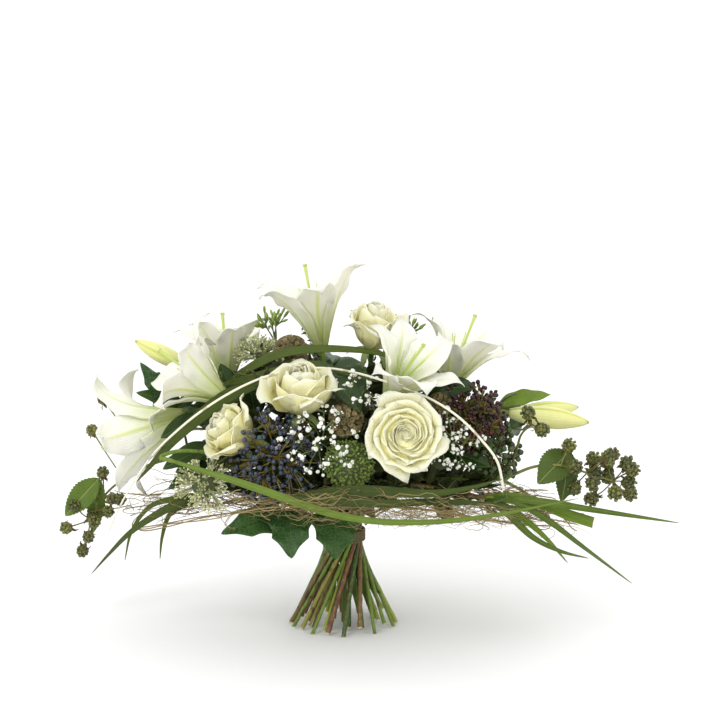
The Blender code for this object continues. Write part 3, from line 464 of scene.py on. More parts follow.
lilySettings = {
    "tepalWidth": 47, "outerShare": 0.74, "thickness": 0.7, "ruffle": 3.0, "keel": 1.3, "tipCurl": 66,
    "flare": 1.5, "leave": 15, "grid": (14, 32),
    # an outer and an inner tepal's distance from the axis, cupping and set back
    "foot": (6.6, 5.2), "cup": (1.6, 1.15), "behind": (3.4, 0.0),
    # base, axis, roll, tepal length, how far each tepal curls
    "places": {
        "lily_top": ((-26, 12, 336), (-0.16, 0.02, 1.0), 255, 120, (66, 80, 82, 54, 62, 94)),
        "lily_left_front": ((-134, -62, 286), (-0.83, 0.04, 0.56), 96, 116, (70, 112, 72, 108, 108, 76)),
        "lily_left_back": ((-142, 44, 290), (-0.04, 0.14, 0.98), 30, 98, (56, 74, 52, 80, 60, 82)),
        "lily_far_left": ((-184, -42, 268), (-0.90, 0.17, -0.40), 12, 132, (84, 100, 118, 84, 62, 54)),
        "lily_centre": ((52, -80, 292), (0.42, -0.48, 0.76), 10, 104, (58, 72, 62, 80, 64, 74)),
        "lily_right": ((124, 4, 284), (0.32, -0.04, 0.94), 340, 116, (76, 98, 72, 90, 74, 92)),
    },
}


def lilyPetalFinish():
    finish = Finish("lilyPetal", Roughness=0.45, Subsurface_Weight=0.3, Subsurface_Scale=0.005,
                    Subsurface_Radius=(1.0, 0.95, 0.6), Specular_IOR_Level=0.35)
    across, along, cloud = finish.read("across"), finish.read("along"), finish.noise(70, 3)
    rib = 1 - finish.band(abs(across), 0.02, 0.16)
    throat = 1 - finish.band(along, 0.06, 0.62)
    green = finish.mix(finish.band(along, 0.0, 0.80), (0.34, 0.48, 0.06), (0.78, 0.80, 0.34))
    veins = (across * 62 + cloud * 2).sine() * 0.5 + 0.5
    colour = finish.coats((0.89, 0.875, 0.74), (cloud, (0.95, 0.94, 0.84)),
                          (throat * 0.85, (0.55, 0.64, 0.16)),
                          (rib * (1 - finish.band(along, 0.55, 1.0)) * 0.85, green),
                          (finish.band(along, 0.965, 1.0) * 0.7, (0.55, 0.66, 0.30)),
                          (veins * 0.10, (0.62, 0.66, 0.54)))
    return finish.done(colour, veins * 0.35 + finish.noise(900, 1) * throat * 0.8 + rib * 0.5, 0.0006)


def tepalLine(length, curl, radius, steps=60):
    # how far out, how high and how steep the middle of a tepal is
    settings = lilySettings
    leave, end, tipCurl = (radians(angle) for angle in (settings["leave"], curl, settings["tipCurl"]))
    height, line = 0.0, [(radius, 0.0, leave)]
    for k in range(steps):
        at = (k + 0.5) / steps
        last = max(0.0, at - 0.72) / 0.28  # only the tip curls back
        angle = leave + (end - leave) * at ** settings["flare"] + tipCurl * last ** 1.6
        radius += sin(angle) * length / steps
        height += cos(angle) * length / steps
        line.append((radius, height, angle))
    return list(zip(*line))


def tepalPlace(length, width, curl, turn, inner, draw):
    line = tepalLine(length, curl, lilySettings["foot"][inner])
    outward = around(turn)
    side = Vector((-outward.y, outward.x, 0))
    waves = [(draw.uniform(2.8, 4.4), draw.uniform(0, turnRound)) for _ in range(2)]
    sway, twist = draw.uniform(-9, 9), draw.uniform(-0.5, 0.5)

    def place(u, v):
        radius, height, angle = (blended(values, v) for values in line)
        blunt = 0.7 + 0.55 * max(0.0, v - 0.55) / 0.45
        half = width / 2 * sin(pi * v ** 1.15) ** blunt if 0 < v < 1 else 0.0
        half = max(min(half + 4.2 * (1 - v), 0.82 * (radius + 2.0)), 0.25)
        cup = lilySettings["cup"][inner] * radius + 70 * max(0.0, v - 0.35) ** 1.3
        bend = u * half / cup
        inward = sin(angle) * upward - cos(angle) * outward
        behind = lilySettings["behind"][inner] * sin(pi * v) ** 0.7
        rate, phase = waves[u > 0]
        ruffle = lilySettings["ruffle"] * abs(u) ** 3 * sin(turnRound * rate * v + phase)
        ruffle *= max(0.0, min(1.0, 3 * (v - 0.25))) * (1 - v) ** 0.3
        keel = lilySettings["keel"] * exp(-(u / 0.13) ** 2) * (1 - v) ** 0.6
        drift, turned = sway * max(0.0, v - 0.4) ** 1.5, twist * max(0.0, v - 0.35)
        over, lift = cup * sin(bend), cup * (1 - cos(bend)) - behind + ruffle - keel
        return (radius * outward + (3 + height) * upward + (over * cos(turned) + drift) * side
                + (lift + over * sin(turned)) * inward)

    return place


def makeLily(name, finish):
    base, axis, roll, length, curls = lilySettings["places"][name]
    draw, batch = random.Random(name), Batch("petals_of_" + name)
    for k, curl in enumerate(curls):
        inner = k % 2 == 0
        width = lilySettings["tepalWidth"] * (1 if inner else lilySettings["outerShare"])
        place = tepalPlace(length * draw.uniform(0.97, 1.05), width, curl + draw.uniform(-6, 6),
                           turnRound * k / 6, inner, draw)
        batch.sheet(place, *lilySettings["grid"], tint=draw.random())
    petals = batch.leafy(finish, lilySettings["thickness"])
    return keep(petals, "lily_white", name, where=aimed(base, axis, roll))


# Pistils and filaments

pistilSettings = {"reach": 0.86, "foot": 11.3, "style": (2.7, 2.0, 1.5, 1.4, 1.7, 2.3),
                  "lobe": (1.395, 1.736, 0.62), "filament": (1.0, 0.7, 0.5)}


def pistilFinish():
    finish = Finish("pistil", Roughness=0.4)
    cloud = finish.noise(500)
    colour = finish.coats((0.34, 0.50, 0.08), (finish.band(finish.read("along"), 10, 80), (0.50, 0.64, 0.14)),
                          (cloud * 0.5, (0.66, 0.72, 0.30)))
    return finish.done(colour, cloud, 0.0003)


def makePistil(name, finish):
    base, axis, roll, length, _ = lilySettings["places"][name]
    draw, batch = random.Random("pistil" + name), Batch("pistil_of_" + name, "girth")
    foot, reach = pistilSettings["foot"], length * pistilSettings["reach"]
    tip = Vector((4, 0, reach))
    style = [(0, 0, foot), (1.0, 0, foot + reach * 0.3), (3.0, 0.6, reach * 0.7), tip]
    batch.line(smoothPath(style, 14), pistilSettings["style"])
    for k in range(3):  # the stigma's three lobes
        out = around(turnRound * k / 3)
        batch.line([tip + out * away + upward * rise for away, rise in ((0, -1.5), (1.5, 0.2), (2.3, 1.6))],
                   pistilSettings["lobe"])
    for k in range(6):
        out = around(turnRound * (k + 0.5) / 6)
        end = out * draw.uniform(15, 19) + upward * (foot + reach * 0.62 + draw.uniform(-4, 4))
        points = [out * 1.2 + upward * (foot + 3), out * 6 + upward * (foot + reach * 0.3), end]
        batch.line(smoothPath(points, 10), pistilSettings["filament"])
    node = name.replace("lily", "pistil")
    keep(batch.tubes(finish, 8), "pistil_green", node, where=aimed(base, axis, roll))


# Round forms

def turnedSheet(batch, outline, sides, where=Matrix.Identity(4), shaped=None):
    # from (height, radius) pairs, which run from foot to tip, and what shaped makes of them
    rows = len(outline) - 1

    def place(u, v):
        height, radius = outline[round(v * rows)]
        turn = pi * (1 + u)
        if shaped:
            height, radius = shaped(height, radius, turn, v)
        return where @ around(turn, radius, height)

    batch.sheet(place, sides, rows, reads=lambda u, v: (abs(u), v))  # without a step at the seam


def scattered(dots, outline, sides, finish, number, shaped=None):
    # a few-faced shape on each dot of a piece
    batch = Batch("seed")
    turnedSheet(batch, outline, sides, shaped=shaped)
    seed = batch.closed(finish)
    seed.data.attributes.remove(seed.data.attributes["tint"])
    made = dots.grown(scatterTree, finish, Shape=seed, Seed=number)
    bpy.data.objects.remove(seed)
    return made


def merged(first, second):
    with opened(first.data) as shape:
        shape.from_mesh(second.data)
    bpy.data.objects.remove(second)
    return first


# Lily buds

budSettings = {
    "sides": 36, "rings": 34, "ridge": 0.07,
    "profile": ((0, 0.42), (0.14, 0.72), (0.36, 0.98), (0.60, 1.0), (0.82, 0.66), (0.95, 0.30), (1.0, 0.06)),
    "places": {
        "lily_bud_left": (((-186, 22, 312), (-0.88, -0.10, 0.46), 74, 11),),
        "lily_bud_right": (((198, -20, 264), (0.97, -0.10, -0.10), 96, 13),
                           ((203, -20.5, 263.5), (0.90, 0.36, 0.02), 88, 11)),
    },
}


def budFinish():
    finish = Finish("lilyBud", Roughness=0.42, Subsurface_Weight=0.08, Subsurface_Scale=0.004)
    across, along, cloud = finish.read("across"), finish.read("along"), finish.noise(120, 3)
    groove = finish.band(abs((across * 1.5 * pi + pi / 2).sine()), 0.0, 0.42)
    pale = finish.mix(cloud, (0.78, 0.76, 0.26), (0.87, 0.85, 0.48))
    streaks = (across * 90 + cloud).sine() * 0.5 + 0.5
    colour = finish.coats((0.36, 0.46, 0.06), (finish.band(along, 0.0, 0.9), (0.66, 0.66, 0.14)),
                          (groove * 0.8, pale), (finish.band(along, 0.93, 1.0) * 0.8, (0.30, 0.42, 0.08)),
                          (streaks * 0.18, (0.46, 0.58, 0.14)))
    return finish.done(colour, streaks * 0.3 + groove, 0.0006)


def makeBuds(name, finish):
    batch = Batch("buds_of_" + name)

    def ridged(height, radius, turn, v):
        return height, radius * (1 - budSettings["ridge"] * (1 - abs(sin(1.5 * turn)) ** 0.7))

    for base, axis, length, radius in budSettings["places"][name]:
        outline = [(h * length, w * radius, 0) for h, w in budSettings["profile"]]
        outline = [(p.x, max(p.y, 0.2)) for p in smoothPath(outline, budSettings["rings"])]
        turnedSheet(batch, outline, budSettings["sides"], aimed(base, axis), ridged)
    keep(batch.closed(finish), "bud_yellow", name)


# Roses

roseSettings = {
    "petals": 34, "grid": (12, 13), "thickness": 0.35, "sepal": 26, "heart": 0.66,
    "hip": ((-0.1, 0), (0, 4), (2.5, 7.6), (6, 9), (9, 7.6), (9.5, 0)),
    # base, axis, roll, radius, height, how far it is open
    "places": {
        "rose_front": ((70, -136, 254), (0.05, -0.92, 0.38), 10, 50, 50, 1.0),
        "rose_middle": ((-46, -98, 274), (-0.08, -0.32, 0.94), 40, 46, 64, 0.25),
        "rose_top": ((34, -12, 336), (0.08, -0.20, 0.98), 75, 35, 62, 0.15),
        "rose_left": ((-104, -108, 244), (-0.80, -0.30, 0.50), 20, 38, 57, 0.25),
        "rose_back": ((-72, 96, 268), (-0.20, 0.72, 0.66), 55, 44, 52, 0.8),
        "rose_back_right": ((92, 92, 272), (0.22, 0.66, 0.72), 15, 42, 52, 0.5),
    },
}


def rosePetalFinish(name, green):
    finish = Finish(name, Roughness=0.5, Subsurface_Weight=0.5, Subsurface_Scale=0.005,
                    Subsurface_Radius=(1.0, 0.95, 0.75), Specular_IOR_Level=0.3)
    across, along, cloud = finish.read("across"), finish.read("along"), finish.noise(80, 3)
    # darker yellow down each petal, steepest in the last part that shows between the rims: partly the petal's
    # own yellower foot, partly painted shade in the gaps between petals
    depth = (1 - finish.band(along, 0.30, 1.0)) * 0.6 + (1 - finish.band(along, 0.80, 0.985)) * 0.4
    rim = finish.band(along + abs(across) * 0.25, 0.92, 1.12)
    veins = (across * 70 + cloud * 3).sine() * 0.5 + 0.5
    colour = finish.coats((0.91, 0.895, 0.58), (cloud * 0.5 + finish.read("tint") * 0.5, (0.955, 0.94, 0.70)),
                          ((depth + green).maths("MINIMUM", 1), (0.90, 0.84, 0.34)),
                          (rim * 0.25, (0.96, 0.945, 0.77)), (veins * 0.06, (0.72, 0.72, 0.38)))
    return finish.done(colour, veins * 0.6 + cloud, 0.0004)


def rosePetalPlace(share, turn, radius, height, opening, draw):
    # share is 0 at the heart and 1 at the outermost petal
    shut = (1 - opening) * max(0.0, 1 - (share / 0.84) ** 3)
    outer = (1 - opening) * max(0.0, share - 0.80) / 0.20
    uneven = 0.18 if share < 0.3 else 0.05
    cup = radius * (0.09 + 0.65 * share ** (0.60 + 0.25 * opening)) * draw.uniform(1 - uneven, 1 + uneven)
    tall = height * (0.83 + 0.06 * sin(pi * share) - 0.08 * share + 0.22 * shut - 0.06 * outer)
    tall *= draw.uniform(0.965, 1.035)
    spread = radians(100 - 56 * share ** 0.6 + 16 * shut)
    flare = radius * (0.20 * share ** 2.2 + 0.20 * outer)
    tuck, roll = radius * (0.03 + 0.05 * share), radius * draw.uniform(0.07, 0.14) * share ** 1.1
    phase, rate = draw.uniform(0, turnRound), draw.uniform(2.5, 4)

    def place(u, v):
        fan = 0.36 + 0.64 * sin(pi / 2 * min(1, v / 0.5))
        lean, rim = max(0.0, v - 0.55) / 0.45, max(0.0, v - 0.74) / 0.26
        away = 5 + (cup - 5) * sin(pi / 2 * min(1, v / 0.62)) ** 0.9
        curl = roll * (0.08 + 0.92 * min(1.0, abs(u) * 1.7) ** 1.4)
        wave = (0.6 + 0.9 * share) * sin(phase + rate * 2 * u) * rim
        away += flare * lean ** 1.6 + tuck * u * min(1.0, 2.2 * v) + curl * rim ** 1.6 + wave
        away -= 0.60 * cup * shut * lean ** 1.4
        peak = (0.05 + 0.05 * outer) * tall * share * max(0.0, 1 - 2.2 * abs(u)) * rim
        rise = (0.08 * height + tall * (1 - 0.20 * abs(u) ** 3) * (v - 0.10 * lean ** 2) + peak
                - curl * rim ** 3)
        angle = turn + spread * fan * u * (1 - 0.12 * rim)
        return around(angle, away, rise)

    return place


def roseSepals(batch, draw):
    length = roseSettings["sepal"]
    for k in range(5):
        bend, out = draw.uniform(0.4, 1.4), around(turnRound * k / 5)
        side = Vector((-out.y, out.x, 0))

        def place(u, v):
            half = 4.2 * sin(pi * min(1, 0.25 + 0.75 * v)) ** 0.8 + 0.15
            drop = 5 - length * v * sin(bend * v) + 0.12 * abs(u) * half
            return out * (7.5 + length * v * cos(bend * v)) + side * half * u + upward * drop

        batch.sheet(place, 4, 10, draw.random(), lambda u, v: (4 * u, length * v))


def makeRose(name, finish, green):
    base, axis, roll, radius, height, opening = roseSettings["places"][name]
    draw, where = random.Random(name), aimed(base, axis, roll)
    batch, sepals = Batch("petals_of_" + name), Batch("sepals_of_" + name)
    heart, hip = Batch("heart"), Batch("hip")
    count = round(roseSettings["petals"] * (0.65 + 0.35 * opening))
    for k in range(count):
        share = k / (count - 1)
        loose = 0.9 if share < 0.22 else 0.35 if share < 0.5 else 0.12
        turn = goldenAngle * k + draw.uniform(-loose, loose)
        place = rosePetalPlace(share, turn, radius, height, opening, draw)
        batch.sheet(place, *roseSettings["grid"], tint=draw.random())
    wide, top = radius * (0.45 + 0.25 * opening), height * (roseSettings["heart"] + 0.14 * (1 - opening))
    dome = [(top * (0.80 + 0.20 * cos(k * pi / 10)), wide * sin(k * pi / 10)) for k in range(5, -1, -1)]
    turnedSheet(heart, [(6, 0), (6, 3), (top * 0.5, wide * 0.8), *dome], 24)
    petals = merged(batch.leafy(finish, roseSettings["thickness"]), heart.closed(finish))
    keep(petals, "rose_cream", name, where=where)
    turnedSheet(hip, roseSettings["hip"], 16)
    roseSepals(sepals, draw)
    keep(merged(sepals.leafy(green, 0.6), hip.closed(green)), "stem_green", name, where=where)


# Leaves

def palmVeins(finish, across, along):
    # ribs that fan out from the root, with a net between them
    ribs = 1 - finish.band(abs((across.maths("ARCTAN2", along + 5) * 5.06).sine()) * (along + 5), 0.5, 2.6)
    net = finish.node("TexVoronoi", {"feature": "DISTANCE_TO_EDGE"},
                      {"Vector": finish.node("TexCoord", out="Object"), "Scale": 190})
    return ribs.maths("MAXIMUM", (1 - finish.band(net, 0.0, 0.12)) * 0.55)


def featherVeins(finish, across, along):
    # a midrib with side ribs that slant forward
    slant = abs(((along - abs(across) * 0.8) * 0.62).sine())
    rib = 1 - finish.band(abs(across), 0.3, 1.1)
    return rib.maths("MAXIMUM", (1 - finish.band(slant, 0.0, 0.22)) * 0.55)


def longVeins(finish, across, along):
    # lines from root to tip
    rib = (1 - finish.band(abs(across), 0.2, 0.9)) * 0.8
    return rib.maths("MAXIMUM", ((across * 5).sine() * 0.5 + 0.5) * 0.5)


def leafFinish(name, dark, light, pale, veins, share, gloss):
    finish = Finish(name, Specular_IOR_Level=0.28)
    veined, cloud = veins(finish, finish.read("across"), finish.read("along")), finish.noise(60, 3)
    finish.set(Roughness=finish.noise(200) * 0.25 + (gloss - 0.1))
    colour = finish.coats(dark, (cloud * 0.45 + finish.read("tint") * 0.65, light), (veined * share, pale))
    return finish.done(colour, 1 - veined + cloud * 0.4, 0.0005)


def upright(face, ahead):
    face = Vector(face)
    return (face - face.dot(ahead) * ahead).normalized()


def leafFrame(root, tip, face):
    root, tip = Vector(root), Vector(tip)
    length = (tip - root).length
    ahead = (tip - root) / length
    up = upright(face, ahead)
    return root, tip, length, ahead, up, ahead.cross(up)


leafSettings = {
    "grid": (14, 40), "thickness": 0.5,
    # root, tip, the way the upper face looks, width, slot, bow
    "places": {
        "ivy_leaf_left": ((-70, -62, 151), (-141, -112, 139), (0.0, -0.9, 0.43), 60, "ivy_green", 6),
        "ivy_leaf_middle": ((-62, -75, 160), (-60, -114, 110), (0.0, -0.9, 0.43), 76, "ivy_green", 6),
        "ivy_leaf_right": ((-11, -60, 156), (-9, -98, 104), (0.1, -0.9, 0.4), 80, "ivy_green", 6),
        "ivy_leaf_back": ((34, 58, 143), (56, 118, 112), (0.1, 0.8, 0.6), 60, "ivy_green", 6),
        "ivy_leaf_upper": ((-206, 12, 270), (-244, 2, 322), (-0.3, -0.9, 0.3), 40, "ivy_green", 4),
        "lily_leaf_right": ((186, 4, 270), (249, -8, 284), (0.1, -0.7, 0.7), 22, "grass_green", 4),
    },
}


def makeLeaf(name, finish):
    root, tip, face, width, slot, bow = leafSettings["places"][name]
    root, tip, length, ahead, up, side = leafFrame(root, tip, face)
    lobed = slot == "ivy_green"
    sweep = 0.16 if lobed else 0.0

    def half(v):
        if lobed:
            body = max(0.0, 1 - v) ** 0.75 * min(1.0, v * 6 + 0.18)
            return width / 2 * (body * (1.17 - 0.30 * abs(sin(pi * (v * 2.2 - 0.35))) ** 0.9))
        return width / 2 * (sin(pi * v ** 0.8) ** 0.9 * 0.98 + 0.05 if v < 1 else 0.0)

    def place(u, v):
        lift = bow * sin(pi * v) + 0.18 * half(v) * abs(u) + 1.2 * abs(u) * sin(19 * v + 2 * u)
        return root.lerp(tip, v) + ahead * sweep * half(v) * abs(u) + side * half(v) * u + up * lift

    batch = Batch("blade_of_" + name)
    tone = random.Random(name).random()
    batch.sheet(place, *leafSettings["grid"], tone, lambda u, v: (half(v) * u, length * v))
    keep(batch.leafy(finish, leafSettings["thickness"]), slot, name)


def ribbedLeaf(batch, root, tip, face, width, grid, draw, teeth=0, pleat=0.0):
    # an oval leaf, its edge toothed where it is a bramble's
    root, tip, length, _, up, side = leafFrame(root, tip, face)
    bow = draw.uniform(1, 4)

    def half(v):
        body = sin(pi * min(1, v) ** 0.85) ** 0.8 if 0 < v < 1 else 0.0
        return width / 2 * body * (1 - 0.14 * ((-v * teeth) % 1) if teeth else 1) + 0.3

    def place(u, v):
        lift = bow * sin(pi * v) + 0.22 * half(v) * abs(u) + 0.8 * abs(u) * sin(14 * v + 3 * u)
        lift += pleat * abs(sin((length * v - half(v) * abs(u) * 0.8) * 0.62))
        return root.lerp(tip, v) + side * half(v) * u + up * lift

    batch.sheet(place, *grid, draw.random(), lambda u, v: (half(v) * u, length * v))


# Strap leaves and grass

bladeSettings = {
    "grid": (6, 46), "thickness": 0.5, "keel": 0.16, "step": 42,
    "foot": ((0, 0), (0, 2.4), (5, 2.6), (12, 1.4), (12, 0)),
    # how light each line is, from dark at 0, and how much wider than its solid
    "tones": {"swag_blade": (0.50,), "grass_right": (0.20, 0.15, 0.05, 0.70, 1.0),
              "front_blades": (0.25, 0.15), "grass_left": (0.3, 0.8, 1.0)},
    "wider": {"front_blades": (0.9, 0.6), "swag_blade": (0.72,), "grass_right": (1, 1, 1, 1.45, 1),
              "grass_left": (1.35, 1.05, 1.05)},
    # root, the lines from it to their tips, width, the way the face looks, slot
    "places": {
        "arc_blades": (
            (-143, -26, 298),
            [((-84, -42, 336), (-16, -56, 347), (54, -62, 340), (112, -66, 314)),
             ((-82, -64, 314), (-10, -80, 324), (44, -84, 312))],
            13, (0.0, -0.75, 0.65), "blade_green"),
        "arc_blade_left": (
            (-92, -62, 308),
            [((-129, -76, 297), (-176, -106, 266), (-208, -128, 236), (-236, -128, 204))],
            18, (-0.2, -0.85, 0.5), "blade_green"),
        "swag_blade": (
            (-199, -146, 234),
            [((-101, -180, 210), (0, -202, 181), (87, -206, 175), (164, -196, 180),
              (216, -168, 183), (270, -134, 186))],
            12, (0.0, -0.85, 0.5), "grass_green"),
        "front_blades": (
            (-64, -150, 190),
            [((22, -160, 200), (112, -186, 204), (180, -168, 216)),
             ((36, -178, 190), (104, -178, 192), (176, -150, 182), (238, -120, 166))],
            16, (0.0, -0.9, 0.4), "blade_green"),
        "grass_right": (
            (166, -84, 176),
            [((222, -112, 178), (300, -96, 162), (398, -64, 140)),
             ((212, -114, 172), (264, -110, 134), (340, -84, 72)),
             ((200, -118, 156), (232, -122, 128), (286, -106, 108)),
             ((216, -100, 176), (262, -98, 158), (292, -96, 148)),
             ((204, -98, 158), (236, -104, 132), (262, -104, 102))],
            9, (0.1, -0.75, 0.65), "grass_green"),
        "grass_left": (
            (-150, -86, 182),
            [((-196, -92, 168), (-250, -78, 132), (-300, -56, 76)),
             ((-200, -72, 156), (-214, -64, 124), (-218, -58, 94)),
             ((-226, -58, 160), (-254, -48, 122), (-262, -40, 88))],
            8, (-0.1, -0.75, 0.65), "grass_green"),
        "swag_blade_back": (
            (-112, 116, 206),
            [((-66, 154, 210), (0, 174, 202), (86, 152, 206), (170, 88, 226))],
            14, (0.0, 0.8, 0.6), "blade_green"),
        "grass_back": (
            (60, 112, 190),
            [((-20, 160, 186), (-130, 150, 168), (-222, 104, 128)),
             ((120, 150, 176), (208, 128, 146), (286, 84, 104)),
             ((70, 158, 168), (88, 186, 128))],
            9, (0.0, 0.75, 0.65), "grass_green"),
    },
}


def bladeSheet(batch, points, width, face, square, tone, draw):
    run = sum((Vector(b) - Vector(a)).length for a, b in zip(points, points[1:]))
    steps = max(4, round(run / bladeSettings["step"]))
    line = space.eased(smoothPath(points, steps * 3), width / 2 + 1.2, (2, 0))[::3]
    across, along = bladeSettings["grid"]
    line = smoothPath(line, along)
    twist = draw.uniform(-0.35, 0.35)
    frames = []
    for k in range(along + 1):
        ahead = (line[min(k + 1, along)] - line[max(k - 1, 0)]).normalized()
        side = Matrix.Rotation(twist * k / along, 3, ahead) @ ahead.cross(Vector(face)).normalized()
        frames.append((line[k], side, side.cross(ahead) * bladeSettings["keel"]))

    def half(v):
        return width / 2 * min(1.0, 0.4 + 3 * v) * (1 if square else min(1.0, (1 - v) * 1.5) ** 0.75) + 0.2

    def place(u, v):
        middle, side, keel = frames[round(v * along)]
        return middle + side * half(v) * u + keel * half(v) * (abs(u) - 0.5)

    batch.sheet(place, across, along, tone, lambda u, v: (half(v) * u, 300 * v))


def makeBlades(name, finish):
    root, lines, width, face, slot = bladeSettings["places"][name]
    draw, root = random.Random(name), Vector(root)
    ahead = (Vector(lines[0][0]) - root).normalized()
    batch, foot = Batch("straps_of_" + name), Batch("foot")
    tones = bladeSettings["tones"].get(name, [draw.random() for _ in lines])
    wider = bladeSettings["wider"].get(name, [1] * len(lines))
    for points, tone, more in zip(lines, tones, wider):  # the widest one is cut square at its tip
        points = [root + ahead * 3, *map(Vector, points)]
        bladeSheet(batch, points, width * more, face, more > 1.4, tone, draw)
    turnedSheet(foot, bladeSettings["foot"], 10, aimed(root, ahead))
    keep(merged(batch.leafy(finish, bladeSettings["thickness"]), foot.closed(finish)), slot, name)


# The ivory cane that arches over the front

caneSettings = {
    "girth": (0.9, 1.25, 1.35, 1.4, 1.4, 1.4, 1.6), "sides": 10,
    "points": ((-278, -54, 128), (-264, -76, 165), (-233, -112, 214), (-194, -140, 263), (-162, -142, 291),
               (-106, -112, 320), (-67, -84, 330), (-31, -72, 331), (4, -76, 328), (48, -106, 318),
               (87, -144, 310), (117, -156, 302), (138, -158, 286), (169, -150, 251), (184, -138, 196)),
}


def caneFinish():
    finish = Finish("cane", Roughness=0.45, Coat_Weight=0.2)
    streaks = finish.noise(700, 3, (0.2, 0.2, 1))
    joints = finish.band(abs((finish.read("along") * 0.035).sine()), 0.985, 1.0)
    colour = finish.coats((0.74, 0.70, 0.50), (streaks, (0.93, 0.92, 0.80)),
                          (joints * 0.7, (0.38, 0.29, 0.16)))
    return finish.done(colour, streaks + joints, 0.0004)


def makeCane(finish):
    batch = Batch("ivory_cane", "girth")
    line = space.eased(smoothPath(caneSettings["points"], 19), 2.5, (0, 2))
    batch.line(smoothPath(line, 110), caneSettings["girth"])
    keep(batch.tubes(finish, caneSettings["sides"]), "cane_ivory", "cane")


# What is shared by berries, florets and seeds

def mottledFinish(name, dark, light, roughness, scale=400):
    # two tones that vary from piece to piece and within each one
    finish = Finish(name, Roughness=roughness)
    cloud = finish.noise(scale, 3)
    return finish.done(finish.mix(finish.read("tint") * 0.65 + cloud * 0.35, dark, light), cloud, 0.0004)


def berryFinish(name, dark, light, bloom, shine=0.6):
    # glossy skin with a darker eye at the tip
    finish = Finish(name, Coat_Weight=shine, Coat_Roughness=0.08, Specular_IOR_Level=0.3)
    cloud = finish.noise(90, 3)
    finish.set(Roughness=cloud * 0.2 + 0.14)
    colour = finish.coats(dark, (finish.read("tint"), light), (finish.band(cloud, 0.40, 0.62) * 0.7, bloom),
                          (finish.band(finish.read("along"), 0.86, 0.96), (0.03, 0.025, 0.02)))
    return finish.done(colour, finish.noise(1400, 1), 0.0001)


def started(name, settings, made):
    # what each spray starts from: its row, draws, place, twigs and dots
    row = settings["places"][name]
    twigs, dots = Batch("twigs_of_" + name, "girth"), Batch(made + "_of_" + name, "aim", "size")
    return row, random.Random(name), aimed(row[0], row[1]), twigs, dots


def forked(twigs, ways, reach, settings, world, draw):
    # the main rays of a spray, and where they fork
    forks, steps = [], settings["steps"]
    for way in ways:
        foot, fork = Vector((way.x * 1.5, way.y * 1.5, 2)), way * reach * draw.uniform(*settings["fork"])
        if space.clearWay(world @ foot, world @ fork, settings["room"]):
            ray = [foot, (foot + fork) / 2 + wobble(draw, 1.5), fork]
            twigs.line(smoothPath(ray, steps) if steps else ray, settings["ray"], draw.random())
            forks.append(fork)
    return forks


def toneNear(tone, draw):
    return min(1, max(0, tone + draw.uniform(-0.3, 0.3)))


# Umbels of berries and buds

umbelSettings = {
    "twig": (0.65, 0.5), "ray": (1.0, 0.8), "fork": (0.48, 0.6), "room": 1.5, "steps": 5, "tall": (1.12, 3.0),
    "outline": ((-0.9, 0.0), (-0.75, 0.62), (0.0, 1.0), (0.55, 0.83), (0.95, 0.28), (1.0, 0.0)),
    # base, axis, reach of the dome, rays, berry radius, dome angle, slot, berries
    "places": {
        "viburnum_blue": ((-78, -112, 232), (-0.12, -0.86, 0.14), 58, 9, 3.0, 80, "berry_blue", 230),
        "viburnum_dark": ((146, -58, 262), (0.30, -0.55, 0.42), 46, 7, 2.7, 86, "berry_purple", 210),
        "ivy_berries": ((176, -58, 224), (0.66, -0.60, -0.12), 36, 6, 3.8, 84, "berry_green", 74),
        "viburnum_back": ((10, 112, 250), (0.05, 0.95, 0.30), 54, 8, 3.1, 76, "berry_blue", 140),
        "bud_sprig_left": ((-82, 34, 338), (-0.20, 0.05, 0.98), 44, 6, 1.7, 34, "grass_green", 40),
        "bud_sprig_right": ((74, 34, 332), (0.08, 0.02, 0.99), 40, 6, 1.7, 34, "grass_green", 36),
    },
}


def makeUmbel(name, finish, woody):
    row, draw, world, twigs, dots = started(name, umbelSettings, "berries")
    _, _, reach, rays, size, dome, slot, count = row
    forks = forked(twigs, domeWays(rays, dome * 0.75, draw), reach, umbelSettings, world, draw)
    for way in domeWays(count, dome, draw):
        tip = way * reach * draw.uniform(0.60, 1.06)
        fork = nearestOf(forks, tip)
        if space.clear(world @ tip, size + 0.8) and space.clearWay(world @ fork, world @ tip, 0.8):
            middle = fork.lerp(tip, 0.5) - way * 1.5 + wobble(draw, 1.2)
            twigs.line([fork, middle, tip], umbelSettings["twig"], draw.random())
            dots.dot(tip, (tip - fork).normalized(), size * draw.uniform(0.85, 1.1), draw.random())
    tall = umbelSettings["tall"][slot == "grass_green"]
    outline = [(h * tall, r) for h, r in umbelSettings["outline"]]
    keep(scattered(dots, outline, 10, finish, 3), slot, name, where=world)
    keep(twigs.tubes(woody, 5), "bramble_green", name, where=world)


# Gypsophila

gypsophilaSettings = {
    "twig": (0.45, 0.28), "ray": (0.8, 0.6), "fork": (0.42, 0.6), "room": 0.8, "steps": 0, "rays": 9,
    "sizes": (1.0, 0.9, 0.75, 0.4, 0.35, 0.3, 0.3),
    "outline": ((-0.75, 0.0), (-0.45, 0.55), (0.05, 0.95), (0.50, 1.0), (0.70, 0.60), (0.45, 0.25),
                (0.62, 0.0)),
    # base, axis, reach, florets, dome angle, floret radius
    "places": {
        "gypsophila_front": ((-26, -120, 248), (-0.10, -0.88, 0.34), 56, 86, 60, 2.8),
        "gypsophila_middle": ((6, -92, 280), (-0.10, -0.62, 0.76), 46, 48, 56, 2.9),
        "gypsophila_right": ((116, -104, 240), (0.20, -0.90, 0.30), 46, 66, 52, 2.5),
    },
}


def ruffled(height, radius, turn, v):
    # a little double flower: a ruffled cup with a dimple
    return height + 0.10 * sin(5 * turn) * v, radius * (1 + 0.16 * cos(5 * turn + 3 * v))


